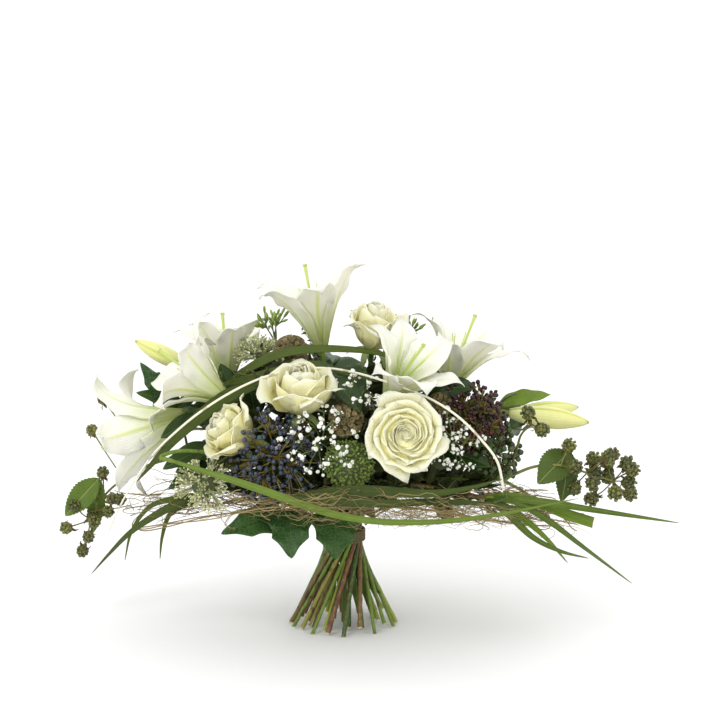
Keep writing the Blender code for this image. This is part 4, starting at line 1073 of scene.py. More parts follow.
def makeGypsophila(name, finish, green):
    row, draw, world, twigs, dots = started(name, gypsophilaSettings, "florets")
    _, _, reach, count, dome, floret = row
    ways = domeWays(gypsophilaSettings["rays"], dome * 0.7, draw)
    forks = forked(twigs, ways, reach, gypsophilaSettings, world, draw)
    for way in domeWays(count // 3, dome, draw):
        middle = way * reach * draw.uniform(0.60, 0.98)
        fork = nearestOf(forks, middle)
        if not (space.clear(world @ middle, 4.2) and space.clearWay(world @ fork, world @ middle, 0.8)):
            continue
        twigs.line([fork, fork.lerp(middle, 0.5) + wobble(draw, 1.5), middle], gypsophilaSettings["twig"],
                   draw.random())
        for size in gypsophilaSettings["sizes"]:
            tip = middle + way * draw.uniform(0, 6) + wobble(draw, 5.0)
            if space.clear(world @ tip, 3.4):
                twigs.line([middle, tip], (0.28, 0.22), draw.random())
                dots.dot(tip, (way * 2 + wobble(draw, 1)).normalized(),
                         floret * size * draw.uniform(0.85, 1.1), draw.random())
    florets = scattered(dots, gypsophilaSettings["outline"], 10, finish, 5, ruffled)
    keep(florets, "gyp_white", name, where=world)
    keep(twigs.tubes(green, 5), "stem_green", name, where=world)


# Close flower heads

headSettings = {
    "clumps": 19,
    "outlines": (((-1.0, 0.0), (-0.6, 0.75), (0.1, 1.0), (0.9, 0.55), (1.1, 0.0)),
                 ((-1.4, 0.0), (-1.2, 0.5), (0.9, 1.0), (0.8, 0.75), (-0.5, 0.2))),
    # base, axis, radius, height of the dome, slot, florets, floret radius
    "places": {
        "green_umbel": ((8, -126, 224), (0.0, -0.92, 0.20), 27, 15, "umbel_green", 420, 1.7),
        "lace_left": ((-158, -108, 196), (-0.35, -0.85, 0.20), 28, 15, "lace_green", 380, 1.3),
        "lace_top": ((-100, 14, 326), (-0.30, -0.20, 0.90), 25, 13, "lace_green", 330, 1.3),
        "scabious_middle": ((4, -112, 270), (0.0, -0.85, 0.45), 18, 19, "seed_brown", 72, 3.1),
        "scabious_top": ((-62, -14, 330), (0.02, -0.30, 0.95), 19, 18, "seed_brown", 74, 3.1),
        "scabious_right": ((112, -62, 274), (0.25, -0.55, 0.75), 15, 16, "seed_brown", 60, 2.8),
    },
}


def makeHead(name, finish, core):
    row, draw, world, _, dots = started(name, headSettings, "florets")
    _, _, radius, height, slot, count, size = row
    rays, middle = Batch("rays_of_" + name, "girth"), Batch("core_of_" + name)
    papery, lacy, clumps = slot == "seed_brown", slot == "lace_green", headSettings["clumps"]
    for way in domeWays(clumps if lacy else count, 84 if lacy else 88, draw):
        centre = Vector((way.x * radius, way.y * radius, 7 + way.z * height))
        if not lacy:
            loose = 0.0 if papery else draw.uniform(-2.4, 1.8)
            dots.dot(centre + way * loose, way, size * draw.uniform(0.8, 1.15), draw.random())
            continue
        centre, foot = centre + way * draw.uniform(-4, 6), centre * 0.55
        tone = draw.random()
        for _ in range(count // clumps):  # lace flower is a cloud of small umbels
            spot = centre + wobble(draw, 6.0) + way * draw.uniform(-2, 2)
            rays.line([foot, spot], (0.4, 0.3), draw.random())
            dots.dot(spot, way, size * draw.uniform(0.7, 1.15), toneNear(tone, draw))
    dome = [(7 + (height - 2) * sin(k * pi / 10), (radius - 2) * cos(k * pi / 10)) for k in range(5)]
    small = 0.62 if lacy else 1  # a lace flower's is hidden among its rays
    profile = [(0, 0), (0, 2.0), (5, 0.7 * radius), *dome, (6 + height, 0)]
    turnedSheet(middle, [(h * small, r * small) for h, r in profile], 18)
    made = [scattered(dots, headSettings["outlines"][papery], 6, finish, 7), middle.closed(core)]
    for obj in made + ([rays.tubes(finish, 4)] if lacy else []):
        keep(obj, slot, name, where=world)


# Brambles

brambleSettings = {
    "drupelets": 50, "drupelet": 2.3, "stalk": (2.0, 1.7, 1.4, 1.1), "pedicel": (0.9, 0.8, 1.0),
    "outline": ((-0.8, 0.0), (-0.5, 0.8), (0.2, 1.0), (0.8, 0.6), (1.0, 0.0)),
    # the stalks from one root, the berries' centres, a leaf's root, tip and width, how many berries, their
    # radius, the leaves' finish
    "places": {
        "bramble_right": (
            (((196, -64, 196), (232, -74, 212), (262, -82, 212), (292, -82, 202), (316, -80, 194)),
             ((196, -64, 196), (204, -68, 230), (210, -76, 252), (220, -82, 262))),
            ((264, -80, 236), (270, -94, 214), (294, -68, 218), (308, -92, 224), (312, -64, 196),
             (334, -84, 193), (290, -100, 196), (316, -98, 184), (292, -76, 172), (272, -72, 184),
             (215, -86, 276), (232, -84, 256)),
            ((266, -64, 226), (227, -94, 194), 40), 19, 9.2, "brambleLeaf",
        ),
        "bramble_left": (
            (((-212, 20, 200), (-252, 30, 184), (-288, 12, 160), (-306, -6, 130)),),
            ((-294, 40, 270), (-308, 34, 232), (-292, 4, 186), (-324, -12, 148), (-336, -6, 120),
             (-308, -18, 112), (-318, 0, 90), (-278, -16, 158)),
            ((-296, -2, 180), (-336, -12, 136), 32), 14, 7.8, "youngBrambleLeaf",
        ),
    },
}


def drupeletFinish():
    # olive, with some drupelets that turn brown
    finish = Finish("drupelet", Roughness=0.4, Coat_Weight=0.15)
    cloud = finish.noise(260, 3)
    brown = finish.band(finish.noise(150, 1), 0.50, 0.60)
    ripe = finish.read("tint") * 0.7 + cloud * 0.3
    colour = finish.coats((0.030, 0.045, 0.007), (ripe, (0.20, 0.22, 0.035)),
                          (brown * 0.45, (0.095, 0.048, 0.018)))
    return finish.done(colour, cloud, 0.0004)


def brambleBerry(centre, start, size, twigs, dots, calyces, draw):
    # on its stalk from start, a ball of drupelets with a calyx of five leaflets behind it
    way = (centre - start).normalized()
    twigs.line(smoothPath([start, start.lerp(centre, 0.5) + wobble(draw, 1.5), centre - way * 4], 6),
               brambleSettings["pedicel"], draw.random())
    ripe, turn, core = draw.random(), way.to_track_quat("Z", "Y"), size - 2.0
    dots.dot(centre, way, core, 0.0)
    for out in domeWays(brambleSettings["drupelets"], 168, draw):
        out = turn @ out
        dots.dot(centre + out * core * (1 + 0.16 * out.dot(way) + draw.uniform(-0.07, 0.07)), out,
                 brambleSettings["drupelet"] * draw.uniform(0.8, 1.15), toneNear(ripe, draw))
    across, foot = way.orthogonal().normalized(), centre - way * (size - 0.2)
    for k in range(5):
        out = Matrix.Rotation(turnRound * k / 5, 3, way) @ across
        end = foot + out * draw.uniform(6, 9) + way * draw.uniform(-4, 4)
        ribbedLeaf(calyces, foot, end, way, 4.6, (2, 6), draw)


def makeBramble(name, skin, wood, green, brown):
    stalks, centres, (root, tip, width), most, size, _ = brambleSettings["places"][name]
    draw = random.Random(name)
    paths = [space.eased(smoothPath(stalk, 4), 3.2, (1, 0)) for stalk in stalks]
    for path in paths[1:]:
        path[0] = paths[0][0].lerp(paths[0][1], 0.3)
    spots = [point for path in paths for point in path[1:]]
    twigs, dots = Batch("stalks_of_" + name, "girth"), Batch("berries_of_" + name, "aim", "size")
    leaves, calyces = Batch("leaves_of_" + name), Batch("calyces_of_" + name)
    for path in paths:
        twigs.line(smoothPath(path, 22), brambleSettings["stalk"], draw.random())
    centres = [space.eased([centre], size + 1.2, (0, 0))[0] for centre in centres]
    for _ in range(400):  # more berries wherever the spray has room
        near = draw.choice(paths[0][-2:]) + wobble(draw, 27)
        if len(centres) < most and space.clear(near, size + 1.5) and all(
                (near - other).length > 15 for other in centres):
            centres.append(near)
    for centre in centres:
        brambleBerry(centre, nearestOf(spots, centre), size, twigs, dots, calyces, draw)
    root, tip = Vector(root), Vector(tip)
    start = nearestOf(spots, root)
    twigs.line([start, root.lerp(tip, 0.1)], (1.2, 1.0), draw.random())
    for end, face, share in ((tip, (0, -0.9, 0.4), 1), (tip + Vector((30, 20, -26)), (0.2, -0.9, 0.4), 0.7)):
        ribbedLeaf(leaves, root, end, face, width * share, (12, 60), draw, 15, 0.7)
    for obj in (calyces.leafy(brown, 0.5), scattered(dots, brambleSettings["outline"], 6, skin, 9),
                twigs.tubes(wood, 7), leaves.leafy(green, 0.5)):
        keep(obj, "bramble_green", name)


# Leafy twigs

twigSettings = {
    "grid": (6, 14), "thickness": 0.5, "leaves": 8, "splay": 0.9, "girth": (1.9, 1.5, 1.1),
    # the twig's points, the way the leaves look, their length and width
    "places": {
        "foliage_left": (((-92, -6, 246), (-146, -14, 276), (-206, -30, 300)), (0.0, -0.7, 0.7), 56, 30),
        "foliage_right": (((84, -14, 226), (96, -44, 262), (100, -58, 296)), (0.0, -0.8, 0.6), 56, 30),
        "foliage_back": (((-10, 40, 258), (-14, 84, 292), (-26, 116, 300)), (0.0, 0.7, 0.7), 62, 34),
        "foliage_back_left": (((-110, 50, 216), (-166, 72, 226), (-226, 84, 226)), (0.0, 0.6, 0.8), 64, 36),
        "foliage_back_right": (((110, 50, 216), (162, 70, 228), (222, 80, 224)), (0.0, 0.6, 0.8), 64, 36),
    },
    # what a leaf tries until it has room: share of its length, tilt up, and turn
    "trials": ((1, 0, 0), (1, 0.5, 0), (1, -0.5, 0), (0.8, 0, 0.4), (0.8, 0.5, 0.4), (0.8, 0, -0.5),
               (0.62, 0.4, 0), (0.62, -0.4, 0.3), (0.5, 0.8, 0), (0.5, -0.8, 0)),
}


def twigLeaf(batch, start, ahead, up, splay, length, width, draw):
    # the first of the trial places where a leaf has room
    grid = twigSettings["grid"]
    for share, tilt, turn in twigSettings["trials"]:
        way = Matrix.Rotation(splay + turn, 3, up) @ ahead
        way = (way + up * (0.25 + tilt)).normalized()
        side = way.cross(up).normalized()
        top = side.cross(way)
        reach, half = length * share, width * share / 2
        spots = [start + way * reach * v + side * half * u + top * 3 * sin(pi * v)
                 for u in (-0.9, 0, 0.9) for v in (0.2, 0.45, 0.7)] + [start + way * reach]
        if all(space.clear(spot, 2.4) for spot in spots):
            return ribbedLeaf(batch, start, start + way * reach, top, width * share, grid, draw)


def makeLeafyTwig(name, finish, wood):
    points, face, length, width = twigSettings["places"][name]
    draw = random.Random(name)
    line = space.eased(smoothPath(points, 4), 3.0, (1, 0))
    twig, batch = Batch("twig_of_" + name, "girth"), Batch("leaves_of_" + name)
    twig.line(smoothPath(line, 16), twigSettings["girth"], draw.random())
    count, splay = twigSettings["leaves"], twigSettings["splay"]
    for k in range(count):  # to and fro, the last one straight on
        at = 4 * (k + 1) / count
        low = min(int(at), 3)
        ahead = (line[low + 1] - line[low]).normalized()
        side = 0.0 if k == count - 1 else (splay if k % 2 else -splay)
        twigLeaf(batch, line[low].lerp(line[low + 1], at - low), ahead, upright(face, ahead), side,
                 length * draw.uniform(0.85, 1), width, draw)
    keep(twig.tubes(wood, 7), "bramble_green", name)
    keep(batch.leafy(finish, twigSettings["thickness"]), "ivy_green", name)


# The spiral of stems

stemSettings = {
    "tie": 112, "tieWidth": 17, "lift": 26, "gap": 0.3, "sides": 10, "steps": 60,
    # how far out each ring is at the floor and at the tie, the last for the slight stems
    "rings": ((64, 20), (43, 13.2), (23, 6.8), (54, 16.6)), "places": (20, 12, 7),
    "slight": 14, "girth": 1.5, "thick": 2.5, "below": -12.0, "neck": 9,
    # up to which tint each tone goes
    "tones": ((0.22, (0.035, 0.085, 0.012)), (0.48, (0.12, 0.21, 0.018)), (0.68, (0.34, 0.38, 0.045)),
              (0.86, (0.17, 0.115, 0.028)), (1.0, (0.16, 0.060, 0.026))),
}


def stemEnd(line, girth):
    # the end of a stem, the way it points and its radius, where something grows on along a line
    return Vector(line[0]), (Vector(line[1]) - Vector(line[0])).normalized(), girth


def mainEnds():
    # for what each main stem carries
    ends = []
    for settings, girth in ((lilySettings, 3.2), (roseSettings, 3.0), (budSettings, 2.6),
                            (umbelSettings, 2.4), (gypsophilaSettings, 1.8), (headSettings, 2.2)):
        rows = [row[0] if settings is budSettings else row for row in settings["places"].values()]
        ends += [(Vector(row[0]), Vector(row[1]).normalized(), girth) for row in rows]
    ends += [stemEnd(row[0][0], 2.2) for row in brambleSettings["places"].values()]
    ends += [stemEnd((row[0], row[1][0][0]), 2.4) for row in bladeSettings["places"].values()]
    return ends + [stemEnd(caneSettings["points"][::-1], 1.8)]


def sideEnds():
    # for what springs from the side of a stem
    return [stemEnd(row, 1.6) for row in leafSettings["places"].values()] + [
        stemEnd(row[0], 1.9) for row in twigSettings["places"].values()]


def spiralPoint(ring, angle, height):
    foot, waist = stemSettings["rings"][ring]
    away = sqrt(foot ** 2 - waist ** 2) / stemSettings["tie"] * (height - stemSettings["tie"])
    x, y = cos(angle), sin(angle)
    return Vector((waist * x - away * y, waist * y + away * x, height))


def sharedOut(ends):
    # the lowest take the outer places in the tie, each on the side that it leaves to
    left = sorted(ends, key=lambda end: (end[0].z - stemSettings["tie"]) / max(end[0].xy.length, 1.0))
    top = stemSettings["tie"] + stemSettings["lift"]
    chosen = []
    for ring, count in enumerate(stemSettings["places"]):
        here, left = left[:count], left[count:]
        angles = [turnRound * (k + 0.5 * ring) / count for k in range(count)]
        for end in sorted(here, key=lambda end: atan2(end[0].y, end[0].x)):

            def gap(angle):
                leaves = spiralPoint(ring, angle, top)
                return abs((atan2(leaves.y, leaves.x) - atan2(end[0].y, end[0].x) + pi) % turnRound - pi)

            best = min(angles, key=gap)
            angles.remove(best)
            chosen.append((*end, ring, best))
    return chosen, left


def stemPath(end, way, girth, ring, angle):
    # straight through the tie, then in a curve to what it carries
    start = spiralPoint(ring, angle, stemSettings["tie"] + stemSettings["lift"])
    ahead = (start - spiralPoint(ring, angle, stemSettings["tie"])).normalized()
    last = end - way * stemSettings["gap"]
    neck = last - way * stemSettings["neck"]
    pull = 0.42 * (neck - start).length
    knots = [start, start + ahead * pull, neck - way * min(pull, 55), neck]
    upper = []
    for t in (1 / 3, 2 / 3):
        bezier = [(1 - t) ** 3, 3 * t * (1 - t) ** 2, 3 * t * t * (1 - t), t ** 3]
        upper.append(sum((knot * share for knot, share in zip(knots, bezier)), Vector()))
    return space.eased([spiralPoint(ring, angle, 0), start, *upper, neck, last], girth + 1.8, (2, 2))


def sidePath(end, way, girth, stems):
    # from the nearest place on a stem
    last = end - way * stemSettings["gap"]
    neck = last - way * 7
    best = None
    for path in stems:
        for low, high in zip(path[1:], path[2:]):
            for k in range(8):
                point = low.lerp(high, k / 8)
                lean = (neck - point).normalized().dot(way)
                cost = (neck - point).length + (25 if neck.z < point.z else 0) - 10 * lean
                if (best is None or cost < best[0]) and (neck - point).length > 5:
                    best = (cost, point)
    start = best[1]
    return space.eased([start, start.lerp(neck, 0.5) - way * 3, neck, last], girth + 1.5, (1, 2))


def stemFinish():
    finish = Finish("stem", Roughness=0.5)
    tint, along, tones = finish.read("tint"), finish.read("along"), stemSettings["tones"]
    streaks = finish.noise(500, 3, (1, 1, 0.12))
    scars = finish.band(finish.noise(120, 3, (1, 1, 0.5)), 0.56, 0.64)
    height = finish.node("SeparateXYZ", {}, {0: finish.node("TexCoord", out="Object")}, out=2)
    cut = (1 - finish.band(height, 0.0004, 0.0016)) + (1 - finish.band(along, 0.2, 1.2)) * 0.9
    colour = finish.coats(tones[0][1], *((finish.band(tint, limit - 0.02, limit), tone)
                                         for (limit, _), (_, tone) in zip(tones, tones[1:])),
                          (finish.band(streaks, 0.45, 0.75) * 0.5, (0.30, 0.30, 0.07)),
                          (scars * 0.75, (0.075, 0.036, 0.014)),
                          (cut.maths("MINIMUM", 1), (0.62, 0.62, 0.38)))
    return finish.done(colour, streaks + scars, 0.0005)


def mainStem(batch, end, way, girth, ring, angle, stands, draw):
    # its path, with the stem laid along it, swollen at its knots
    steps, top = stemSettings["steps"], stemSettings["tie"] + stemSettings["lift"]
    low = stemSettings["below"] if stands else draw.uniform(2, 14)
    path = stemPath(end, way, girth, ring, angle)
    path[0] = spiralPoint(ring, angle, low)
    straight = [spiralPoint(ring, angle, low + (top - low) * share) for share in (0, 0.3, 0.6, 0.85)]
    thick = stemSettings["thick"] * draw.uniform(0.82, 1.12)
    middle = (stemSettings["thick"] + girth) / 2
    girths = [thick * 1.04, thick, thick, middle * 0.9, girth * 0.9, girth]
    tint, phase = draw.random(), draw.randrange(5)
    often = 5 if tint > 0.62 else 17  # how many steps from one knot to the next
    swells = [(1.2 if (k + phase) % often == 0 else 1.0) * blended(girths, k / steps)
              for k in range(steps + 1)]
    batch.line(smoothPath(straight + path[1:], steps), swells, tint)
    return path


def makeStems(finish):
    draw, batch = random.Random(4), Batch("spiral_of_stems", "girth")
    chosen, extra = sharedOut(mainEnds())
    tie, paths = stemSettings["tie"], []
    for k, place in enumerate(chosen):
        stands = place[3] == 0 and k % 2 == 0 or k % 5 == 0
        paths.append(mainStem(batch, *place, stands, draw))
    slight, girth = stemSettings["slight"], stemSettings["girth"]
    for k in range(slight):  # between the outer rings, with their ends among the leaves
        heights = (draw.uniform(2, 20), 60, tie, 150 + draw.uniform(0, 12))
        line = [spiralPoint(3, turnRound * (k + 0.25) / slight, height) for height in heights]
        batch.line(smoothPath(line, 24), (girth, girth * 0.8), draw.random())
    for end, way, girth in extra:  # what is left over grows up through the middle
        neck, last = end - way * stemSettings["neck"], end - way * stemSettings["gap"]
        low, top = stemSettings["below"], tie + stemSettings["lift"]
        paths.append([Vector((0, 0, low)), Vector((0, 0, top)), neck, last])
        batch.line(smoothPath(paths[-1], stemSettings["steps"]), (3, 3), draw.random())
    for end, way, girth in sideEnds():
        path = smoothPath(sidePath(end, way, girth, paths), 12)
        batch.line(path, (girth * 1.1, girth * 0.9, girth * 0.8), 0.2)
    stems = batch.tubes(finish, stemSettings["sides"])
    with opened(stems.data) as shape:  # cut off where they stand on the floor
        parts = shape.verts[:] + shape.edges[:] + shape.faces[:]
        cut = bmesh.ops.bisect_plane(shape, geom=parts, plane_co=(0, 0, 0), plane_no=(0, 0, 1),
                                     clear_inner=True)["geom_cut"]
        rims = [edge for edge in cut if isinstance(edge, bmesh.types.BMEdge) and edge.is_boundary]
        bmesh.ops.holes_fill(shape, edges=rims)
    keep(stems, "stem_green", "stems")
    return paths


# The twine tie

tieSettings = {
    "turns": 5, "radius": 24.9, "strand": 0.95, "lay": 9.0, "wide": 13.8, "sides": 40, "steps": 600,
    "strands": 3,
}


def twineFinish():
    finish = Finish("twine", Roughness=0.9)
    fuzz = finish.noise(1600, 3)
    colour = finish.coats((0.08, 0.065, 0.028), (fuzz, (0.24, 0.20, 0.09)),
                          (finish.read("tint") * 0.4, (0.13, 0.11, 0.05)))
    return finish.done(colour, fuzz, 0.0005)


def makeTie(finish):
    batch, low = Batch("twine", "girth"), stemSettings["tie"] - tieSettings["wide"] / 2
    sides, steps, strand = tieSettings["sides"], tieSettings["steps"], tieSettings["strand"]
    count = tieSettings["turns"] * sides
    path = [around(turnRound * k / sides - pi / 2, tieSettings["radius"],
                   low + tieSettings["wide"] * k / count) for k in range(count + 1)]
    for height, lean in ((-6, -9), (6, 11)):  # the ends, which cross at the knot
        start = path[0] if height < 0 else path[-1]
        tail = [start + Vector((lean * t, -2.2 - 3 * t * (1 - t), -height * 0.2 - 12 * t * t))
                for t in (0.3, 0.7, 1)]
        path = tail[::-1] + path if height < 0 else path + tail
    path = smoothPath(path, steps)
    run = sum((b - a).length for a, b in zip(path, path[1:])) / steps
    for part in range(tieSettings["strands"]):
        points = []
        for k, point in enumerate(path):
            ahead = (path[min(k + 1, steps)] - path[max(k - 1, 0)]).normalized()
            side = ahead.cross(upward).normalized()
            turn = turnRound * (k * run / tieSettings["lay"] + part / tieSettings["strands"])
            points.append(point + (side * cos(turn) + ahead.cross(side) * sin(turn)) * strand)
        batch.line(points, (strand, strand), part / 2)
    keep(batch.tubes(finish, 6), "twine_brown", "tie")


# The fibre collar under the flowers

collarSettings = {
    "halfLength": 262, "halfDepth": 148, "height": 158, "droop": 38, "rise": 23,
    "back": 168, "rings": ((0.31, 12), (0.97, 20)), "cord": (0.6, 0.8, 0.7, 0.6),
    # the roots: how many, how far out they end, and where they may bend
    "roots": 6, "foot": 26.2, "bends": ((44, 44, 15), (40, 40, 7), (54, 46, 18)),
    "twig": {"count": 110, "paces": 9, "pace": (5, 8), "curl": 0.10, "girth": (0.6, 1.1), "steps": 12},
    "fibre": {"count": 1000, "paces": 12, "pace": (4, 8), "curl": 0.34, "girth": (0.22, 0.55), "steps": 15},
    # laid over the front: how many, across which x and z, how thick
    "laid": ((36, (-60, 150), (182, 204), (0.22, 0.42)), (80, (10, 150), (168, 184), (0.18, 0.3))),
    "inner": -138, "outer": -198,
}


def netLevel(along, out, droop):
    return collarSettings["height"] - droop * along ** 2 + collarSettings["rise"] * out ** 2


def collarPoint(share, turn):
    along, out = share * cos(turn), share * sin(turn)
    return Vector((collarSettings["halfLength"] * along, collarSettings["halfDepth"] * out,
                   netLevel(along, out, collarSettings["droop"])))


def netRings(batch, draw):
    # the rings of the net, each a loose cord of three twigs, which keep clear of the stems
    knots = []
    for share, sides in collarSettings["rings"]:
        ring = []
        for k in range(sides):
            turn = turnRound * k / sides
            wave = share * (1 + 0.02 * sin(5 * turn))
            wider = next((w for w in (0, 0.03, 0.06, 0.1, 0.14, 0.18, 0.24)
                          if space.clear(collarPoint(wave + w, turn), 6.0)), 0.0)
            ring.append(collarPoint(wave + wider, turn))
        knots.append(ring)
        for _ in range(3):
            loop = [point + wobble(draw, 3.2) for point in ring]
            batch.line(smoothPath(loop + loop[:2], 90), collarSettings["cord"], draw.random())
    return knots


def netRoots(batch, knots, draw):
    # from the inner ring down to the tie
    rest = stemSettings["tie"] + stemSettings["tieWidth"] / 2 + stemSettings["gap"] + 0.9
    away, found = collarSettings["foot"], 0
    for knot in knots:
        for swing in (0, 0.2, -0.2, 0.4, -0.4, 0.6, -0.6):
            turn = atan2(knot.y, knot.x) + swing
            x, y = cos(turn), sin(turn)
            foot = Vector((away * x, away * y, rest))
            bends = [Vector((a * x, b * y, rest + c)) for a, b, c in collarSettings["bends"]]
            way = next((bend for bend in bends if space.clearWay(knot, bend, 2.0, 30)
                        and space.clearWay(foot, bend, 1.3, 20)), None)
            if way and found < collarSettings["roots"]:
                found += 1
                batch.line([knot, way, foot], (1.2, 1.0), draw.random())
                break


def netFibre(batch, twig, draw):
    # a curling fibre or a straighter twig that stays near the net, with fewer at the left and the front right
    kind = collarSettings["twig" if twig else "fibre"]
    share, turn = draw.uniform(0.34, 1.0) ** 0.7, draw.uniform(0, turnRound)
    if cos(turn) < -0.35 and draw.random() < 0.5 + 0.4 * sin(turn):
        return
    if sin(turn) < -0.5 and cos(turn) > 0 and draw.random() < 0.45:
        return
    heading = draw.uniform(-0.5, 0.5) if twig else draw.uniform(0, turnRound)
    depth = draw.uniform(-3, 17)
    lift = collarSettings["droop"] * (share * cos(turn)) ** 2 * (0.60 if cos(turn) < 0 else 0.2)
    point = collarPoint(share, turn) + upward * (depth + lift)
    if twig:
        ahead = Vector((cos(turn + heading) * 1.5, sin(turn + heading), 0)).normalized()
    else:
        ahead = Vector((cos(heading), 0.6 * sin(heading), draw.uniform(-0.25, 0.15))).normalized()
    curl, path = wobble(draw, 0.25), [point]
    for _ in range(kind["paces"]):
        curl = curl * 0.7 + wobble(draw, kind["curl"])
        ahead = (ahead + curl).normalized()
        point = point + ahead * draw.uniform(*kind["pace"])
        along = min(1.0, abs(point.x) / collarSettings["halfLength"])
        out = min(1.0, abs(point.y) / collarSettings["halfDepth"])
        level = netLevel(along, out, collarSettings["droop"] * (0.40 if point.x < 0 else 0.8))
        point.z += (level + depth * 0.8 - point.z) * 0.2
        if point.y > collarSettings["back"]:
            ahead.y = -abs(ahead.y)
        if hypot(along, out) > 1.06:
            ahead = (ahead + Vector((-point.x, -point.y, -20)).normalized() * 0.8).normalized()
        path.append(point.copy())
    thick = draw.uniform(*kind["girth"])
    batch.line(smoothPath(path, kind["steps"]), (thick, thick * 0.9, thick * 0.5), draw.random())


def laidFibre(batch, across, heights, girths, draw):
    # over the front, rooted in the net
    inner, outer = collarSettings["inner"], collarSettings["outer"]
    x, z, way = draw.uniform(*across), draw.uniform(*heights), draw.choice((-1, 1))
    path = [Vector((x, inner, z)), Vector((x + 14 * way, (inner + outer) / 2, z + draw.uniform(-4, 6)))]
    for _ in range(draw.randint(4, 8)):
        x += way * draw.uniform(6, 14)
        bow = 1 - ((x - 30) / 240) ** 2
        path.append(Vector((x + 14 * way, inner + (outer - inner) * bow + draw.uniform(-4, 4),
                            z + 3 * sin(x / 30 + z) + draw.uniform(-5, 5))))
    thick = draw.uniform(*girths)
    batch.line(smoothPath(path, 16), (thick, thick, thick * 0.5), draw.random())


def makeCollar(finish):
    draw, batch = random.Random(11), Batch("net_of_fibres", "girth")
    knots = netRings(batch, draw)
    netRoots(batch, knots[0], draw)
    for twig in (True, False):
        for _ in range(collarSettings["twig" if twig else "fibre"]["count"]):
            netFibre(batch, twig, draw)
    for count, *laid in collarSettings["laid"]:
        for _ in range(count):
            laidFibre(batch, *laid, draw)
    keep(batch.tubes(finish, 4), "fibre_brown", "collar")


# Single laurel leaves among the flowers, each on a stalk from the nearest stem

laurelSettings = {
    "grid": (8, 20), "stalk": (1.3, 1.0),
    # root, tip, the way the upper face looks, width
    "places": (
        ((-16, -80, 320), (20, -130, 284), (0.5, -0.8, 0.3), 34),
        ((-150, -80, 238), (-208, -106, 214), (-0.1, -0.8, 0.6), 26),
        ((-146, -78, 216), (-202, -104, 190), (-0.1, -0.8, 0.6), 24),
        ((-138, -40, 214), (-198, -58, 200), (0.0, -0.9, 0.4), 32),
        ((104, -50, 294), (156, -70, 304), (0.1, -0.7, 0.7), 30),
        ((126, -60, 250), (176, -90, 238), (0.2, -0.8, 0.5), 26),
        ((120, -64, 228), (172, -94, 214), (0.2, -0.8, 0.5), 26),
        ((-190, 18, 266), (-250, 8, 284), (0.0, -0.8, 0.6), 20),
        ((-168, -56, 268), (-212, -82, 246), (0.1, -0.8, 0.5), 22)),
}


def makeLaurel(finish, wood, paths):
    draw = random.Random(8)
    leaves, stalks = Batch("laurel_leaves"), Batch("laurel_stalks", "girth")
    points = [a.lerp(b, k / 6) for path in paths for a, b in zip(path[1:], path[2:]) for k in range(6)]
    for root, tip, face, width in laurelSettings["places"]:
        root, tip = Vector(root), Vector(tip)
        start = nearestOf(points, root)
        middle = start.lerp(root, 0.6) + wobble(draw, 1)
        stalks.line([start, middle, root.lerp(tip, 0.08)], laurelSettings["stalk"])
        ribbedLeaf(leaves, root, tip, face, width, laurelSettings["grid"], draw)
    keep(stalks.tubes(wood, 6), "bramble_green")
    keep(leaves.leafy(finish, 0.5), "ivy_green")


# Dark leaves and twigs that fill the inside

fillerSettings = {
    "leaves": 2500, "grid": (2, 6), "length": (22, 50), "share": 0.44, "sprays": 260,
    "low": 150, "high": 325, "spread": (188, 112), "room": 0.9, "pace": 7, "leaflet": (9, 3.4),
    # where across and along a leaf is tried first
    "tests": ((0, 0.2), (0, 0.45), (0, 0.75), (0.45, 0.4), (-0.45, 0.4), (0.4, 0.7), (-0.4, 0.7), (0, 1)),
}


def rootsOn(paths):
    # points along the stems inside the bouquet, with the way that the stem runs
    wide, deep = fillerSettings["spread"]
    for path in paths:
        for a, b in zip(path[1:], path[2:]):
            steps = max(1, int((b - a).length / 6))
            for point in (a.lerp(b, k / steps) for k in range(steps)):
                if (fillerSettings["low"] < point.z < fillerSettings["high"]
                        and hypot(point.x / wide, point.y / deep) < 1):
                    yield point, (b - a).normalized()


def clearLeaf(batch, root, tip, face, width, grid, draw, held):
    # a leaf stays where all of it is clear, apart from the rows held by the stem
    start, faces = len(batch.points), len(batch.faces)
    ribbedLeaf(batch, root, tip, face, width, grid, draw)
    middles = [sum((batch.points[k] for k in corners), Vector()) / 4 for corners in batch.faces[faces:]]
    spots = batch.points[start + held * 3:] + middles[held * 2 - 2:]
    if not all(space.clear(spot, fillerSettings["room"]) for spot in spots):
        batch.cut(start)


def innerLeaf(batch, root, ahead, draw):
    out = Vector((root.x * 0.5, root.y, draw.uniform(-20, 60))).normalized() + wobble(draw, 0.8)
    way = (ahead * 0.4 + out).normalized()
    length = draw.uniform(*fillerSettings["length"])
    up = way.cross(wobble(draw, 1)).normalized()
    side, width = way.cross(up), length * fillerSettings["share"]
    tests = [root + way * length * v + side * width * u for u, v in fillerSettings["tests"]]
    if all(space.clear(spot, fillerSettings["room"]) for spot in tests):
        clearLeaf(batch, root, root + way * length, up, width, fillerSettings["grid"], draw, 2)


